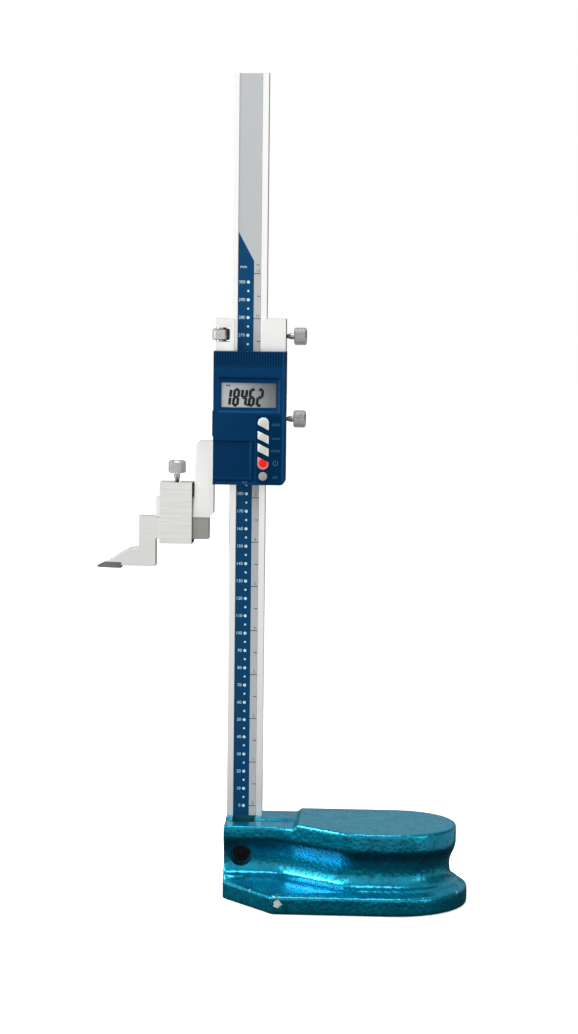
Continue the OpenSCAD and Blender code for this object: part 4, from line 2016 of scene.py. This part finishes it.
@dataclass(frozen=True)
class DisplayUnit:
    """The blue housing with the display, keys, battery bay and data port."""

    edge: float = 0.3
    port_edge: float = 0.2
    key_edge: float = 0.45
    label_x: float = 16.7
    label_height: float = 1.35
    grip: float = 7.6
    ink: float = 0.02
    labels: tuple[KeyLabel, ...] = (
        KeyLabel("key_zero", "ZERO"),
        KeyLabel("key_unit", "mm/in"),
        KeyLabel("key_hold", "HOLD"),
        KeyLabel("key_set", "SET"),
    )

    def housing(self) -> None:
        """The shell and its window."""
        box = Box.of("display_housing")
        # painted shade in the rib grooves of the grip
        grooves = (
            (box.low.x - 1.0, box.low.y + 0.15, box.high.z - self.grip),
            (box.high.x + 1.0, box.low.y + 0.9, box.high.z - 0.1),
        )
        blue = replace(Finishes.BLUE, name="blue_shell", shaded=(grooves,))
        place_piece(
            "housing_shell", softened("display_housing", self.edge), blue, Body.SLIDER,
            ["display_housing"],
        )
        dress("display_window", Finishes.WINDOW)
        dress("keypad_overlay", Finishes.FILM)

    def display(self) -> None:
        """The display's field and figures."""
        panel = Box.of("lcd_panel")
        glass = Box.of("display_window")
        dress("lcd_panel", LiquidCrystal(tuple(glass.low), tuple(glass.high)))
        figures = Readout().figures(glass, panel.low.y).mesh("figures")
        place_piece("display_figures", figures, Finishes.SEGMENT_INK, Body.SLIDER)

    def keys(self) -> None:
        """The key caps."""
        white = ((0.60, 0.60, 0.54), (0.72, 0.76, 0.82))
        red = ((0.80, 0.008, 0.005), (0.80, 0.22, 0.22))
        grey = ((0.32, 0.31, 0.32), (0.40, 0.40, 0.42))
        looks = {
            "key_zero": (Body.ZERO_KEY, white, "white_keys"),
            "key_unit": (Body.UNIT_KEY, white, "white_keys"),
            "key_hold": (Body.HOLD_KEY, white, "white_keys"),
            "key_power": (Body.POWER_KEY, red, "red_key"),
            "key_set": (Body.SET_KEY, grey, "grey_key"),
        }
        for node, (body, (core, rim), slot) in looks.items():
            plastic = KeyPlastic(node + "_plastic", tuple(Box.of(node).centre), core, rim)
            cap = softened(node, self.key_edge, 3)
            place_piece(node + "_cap", cap, plastic, body, [node])

    def printing(self) -> None:
        """The labels beside the keys and the index mark at the foot."""
        film = Box.of("keypad_overlay")
        y = film.low.y - self.ink / 2
        draft = Draft()
        for label in self.labels:
            z = Box.of(label.node).centre.z
            draft.absorb(
                lettering(label.text, self.label_height), facing_user((self.label_x, y, z - 0.6))
            )
        self.power_mark(draft, Vector((self.label_x, Box.of("key_power").centre.z)), y)
        housing = Box.of("display_housing")
        self.index_mark(draft, Vector((-0.5, housing.low.z + 1.1)), y)
        place_piece(
            "key_labels", draft.mesh("labels"), Finishes.LABEL_INK, Body.SLIDER
        )

    def power_mark(self, draft: Draft, centre: Vector, y: float) -> None:
        """An open ring with a bar through its gap.

        Args:
            draft: what it is drawn in.
            centre: its centre in X and Z.
            y: its depth.
        """
        steps = 22
        inner, outer = 1.15, 1.5
        start, turn = math.radians(125), math.radians(290)
        angles = [start + turn * k / steps for k in range(steps + 1)]
        ring = [(outer, a) for a in angles] + [(inner, a) for a in reversed(angles)]
        points = [(centre.x + r * math.cos(a), centre.y + r * math.sin(a)) for r, a in ring]
        draft.prism(points, Axis.Y, (y - self.ink / 2, y + self.ink / 2))
        draft.block(
            (centre.x - 0.17, centre.x + 0.17),
            (y - self.ink / 2, y + self.ink / 2),
            (centre.y + 0.3, centre.y + 1.8),
        )

    def index_mark(self, draft: Draft, centre: Vector, y: float) -> None:
        """A small hollow triangle that points down at the scale.

        Args:
            draft: what it is drawn in.
            centre: its centre in X and Z.
            y: its depth.
        """
        half, height, line = 1.5, 1.5, 0.28
        outer = [(-half, height / 2), (half, height / 2), (0.0, -height / 2)]
        for (ax, az), (bx, bz) in zip(outer, outer[1:] + outer[:1]):
            a = centre + Vector((ax, az))
            b = centre + Vector((bx, bz))
            side = Vector((-(b - a).y, (b - a).x)).normalized() * line / 2
            points = [(p.x, p.y) for p in (a - side, b - side, b + side, a + side)]
            draft.prism(points, Axis.Y, (y - self.ink / 2, y + self.ink / 2))

    def covers(self) -> None:
        """The battery cover and the data port's cover."""
        for node, body, edge, finish in (
            ("battery_cover", Body.BATTERY_DOOR, self.edge, Finishes.BLUE_COVER),
            ("data_port_cover", Body.PORT_DOOR, self.port_edge, Finishes.BLUE),
        ):
            place_piece(node + "_body", softened(node, edge, 3), finish, body, [node])

    def inside(self) -> None:
        """What the housing holds."""
        looks: dict[str, Finish] = {
            "circuit_board": Finishes.BOARD,
            "sensor_block": Finishes.BLACK_PLASTIC,
            "battery_tray": Finishes.BLACK_PLASTIC,
            "data_socket": Finishes.BLACK_PLASTIC,
            "zebra_strips": Finishes.RUBBER,
            "key_membrane": Finishes.RUBBER,
            "battery": Finishes.CELL,
            "battery_contacts": Finishes.BRASS,
        }
        for node, finish in looks.items():
            dress(node, finish)

    def build(self) -> None:
        """Makes the display unit."""
        self.housing()
        self.display()
        self.keys()
        self.printing()
        self.covers()
        self.inside()


# ---------------------------------------------------------------- scriber


@dataclass(frozen=True)
class ScriberArm:
    """The scriber with its carbide edge, and the sleeve that clamps it to the bar."""

    sleeve_edge: float = 0.3
    neck: float = 5.1
    # half-width of the painted shade strip at the sleeve's right edge
    stain: float = 0.35
    high: float = 400.0

    def zone(self, x: Span, top: float) -> Zone:
        """All of the scriber between two places along the bar, up to a height."""
        return (x[0], -60.0, 0.0), (x[1], 60.0, top)

    def build(self) -> None:
        """Makes the scriber and its clamp."""
        sleeve = Box.of("scriber_clamp")
        left, right = sleeve.span(Axis.X)
        steel = WorkedSteel(
            "scriber_steel",
            Axis.X,
            (0.84, 0.84, 0.81),
            contrast=0.08,
            line=0.16,
            length=12.0,
            # painted shade: the bar right of the sleeve, and a thin strip just left of it, are
            # coloured darker grey
            soiled=(
                self.zone((right, right + 60.0), self.high),
                self.zone((left - 2.5, left - 1.9), sleeve.low.z + 1.5),
            ),
            soil=(0.35, 0.35, 0.325),
        )
        place_piece(
            "scriber_steel", softened("scriber_body"), steel, Body.SCRIBER,
            ["scriber_body"],
        )
        dress("carbide_tip", Finishes.CARBIDE)
        brushed = replace(
            Finishes.SLEEVE,
            name="sleeve_steel",
            # painted shade: a dark strip along the sleeve's right edge
            soiled=(self.zone((right - self.stain, right + self.stain), self.high),),
        )
        place_piece(
            "clamp_sleeve", softened("scriber_clamp", self.sleeve_edge), brushed, Body.CLAMP,
            ["scriber_clamp"],
        )
        dress("clamp_pad", Finishes.BRASS)
        ThumbScrew("clamp_screw", Body.CLAMP_SCREW, Axis.Z, neck=self.neck).build()


# ---------------------------------------------------------------- studio


@dataclass(frozen=True)
class SoftLight:
    """A rectangular soft light that looks at a point on the gauge."""

    name: str
    place: Place
    size: Point
    power: float
    aim: Place = (0.02, 0.0, 0.22)

    def build(self) -> None:
        """Makes the light."""
        data = bpy.data.lights.new(self.name, "AREA")
        data.shape = "RECTANGLE"
        data.size, data.size_y = self.size
        data.energy = self.power
        made = scene_link(bpy.data.objects.new(self.name, data))
        made.location = self.place
        look = Vector(self.aim) - Vector(self.place)
        made.rotation_euler = look.to_track_quat("-Z", "Y").to_euler()


@dataclass(frozen=True)
class Viewpoint:
    """Where the gauge is seen from. Angles are in degrees."""

    place: Place = (0.09374, -1.48168, 0.35512)
    heading: float = 2.7068
    tilt: float = -5.398
    roll: float = 0.6455
    lens: float = 91.0

    def build(self) -> None:
        """Makes the camera."""
        data = bpy.data.cameras.new("view")
        data.lens = self.lens
        data.sensor_width = 36.0
        data.clip_start, data.clip_end = 0.05, 50.0
        made = scene_link(bpy.data.objects.new("view", data))
        turn = (
            Matrix.Rotation(math.radians(self.heading), 4, "Z")
            @ Matrix.Rotation(math.radians(90 + self.tilt), 4, "X")
            @ Matrix.Rotation(math.radians(self.roll), 4, "Z")
        )
        made.matrix_world = Matrix.Translation(self.place) @ turn
        bpy.context.scene.camera = made


@dataclass(frozen=True)
class Surround:
    """What the gauge reflects: bright in front and on the left, dark on the right and behind."""

    front: float = 1.0
    left: float = 0.9
    right: float = 0.16
    above: float = 0.62
    behind: float = 0.60
    horizon: float = 0.04
    band: Span = (0.11, 0.18)
    seen: float = 1.0

    def build(self) -> None:
        """Makes the world. The camera sees plain white in its place."""
        world = bpy.data.worlds.new("surround")
        graph = Graph(world)
        x, y, z = graph.parts(graph.node("ShaderNodeTexCoord", output="Generated"))
        level = self.mixed(x.rise(-0.2, 0.75), self.left, self.right)
        level = self.mixed((0 - y).rise(0.1, 0.8), level, self.front)
        level = self.mixed(y.rise(0.3, 0.85), level, self.behind)
        level = self.mixed(z.rise(0.45, 0.85), level, self.above)
        low = (1 - abs(z).rise(*self.band)) * y.rise(0.2, 0.6)
        level = self.mixed(low, level, self.horizon)
        eye = graph.node("ShaderNodeLightPath", output="Is Camera Ray")
        level = self.mixed(eye, level, self.seen)
        light = graph.node("ShaderNodeBackground", inputs={"Color": level})
        graph.close("ShaderNodeOutputWorld", light)
        bpy.context.scene.world = world

    def mixed(self, share: Value, first: Operand, second: Operand) -> Value:
        """Goes from the first level at a share of 0 to the second at 1."""
        return (1 - share) * first + share * second


@dataclass(frozen=True)
class Studio:
    """A pale floor, a soft surround and soft lights."""

    floor: float = 12.0
    floor_glow: float = 0.62
    card: float = 3.0
    card_glow: float = 0.50
    mat: float = 0.42
    mat_glow: float = 0.02
    lights: tuple[SoftLight, ...] = (
        SoftLight("overhead", (-0.1, -0.25, 1.5), (0.7, 0.5), 8.0),
        SoftLight("left", (-1.3, -0.18, 0.35), (0.3, 0.4), 2.8),
        SoftLight("high_left", (-1.2, -0.18, 0.90), (0.4, 0.4), 13.0),
        SoftLight("front_left", (-1.15, -1.05, 0.75), (0.35, 0.7), 3.0),
        SoftLight("front_right", (1.25, -0.95, 0.25), (0.3, 0.6), 2.0),
    )

    def build(self) -> None:
        """Makes the floor, the surround and the lights."""
        white = StudioPaper("floor_paper", 0.88, self.floor_glow)
        paper = self.sheet("floor", self.floor, -0.3, white)
        paper.visible_diffuse = False
        paper.visible_glossy = False
        grey = StudioPaper("grey_card", 0.14, self.card_glow)
        card = self.sheet("floor_card", self.card, -0.6, grey)
        card.visible_camera = False
        dark = StudioPaper("dark_mat", 0.05, self.mat_glow)
        mat = self.sheet("dark_mat", self.mat, -0.35, dark)
        mat.visible_camera = False
        Surround().build()
        for light in self.lights:
            light.build()
        view = bpy.context.scene.view_settings
        view.view_transform = "Standard"
        view.look = "None"

    def sheet(self, name: str, width: float, top: float, finish: Finish) -> bpy.types.Object:
        """Lays a large flat sheet under the gauge.

        Args:
            name: the sheet's name.
            width: the length of its sides in metres.
            top: the height of its top in millimetres.
            finish: its finish.

        Returns:
            The sheet, which is part of the stage.
        """
        half = width / 2 / MM
        mesh = Draft().block((-half, half), (-half, half), (top - 0.2, top)).mesh(name)
        mesh.materials.append(finish.material())
        sheet = scene_link(bpy.data.objects.new(name, mesh))
        return sheet


def main() -> None:
    """Builds the gauge from the base up, then the studio."""
    logging.basicConfig(level=logging.INFO, format="%(name)s: %(message)s")
    Viewpoint().build()
    for assembly in (
        BaseCasting(),
        Column(),
        FineAdjustment(),
        Slider(),
        DisplayUnit(),
        ScriberArm(),
        Studio(),
    ):
        LOG.info("building %s", type(assembly).__name__)
        assembly.build()


if __name__ == "__main__":
    main()
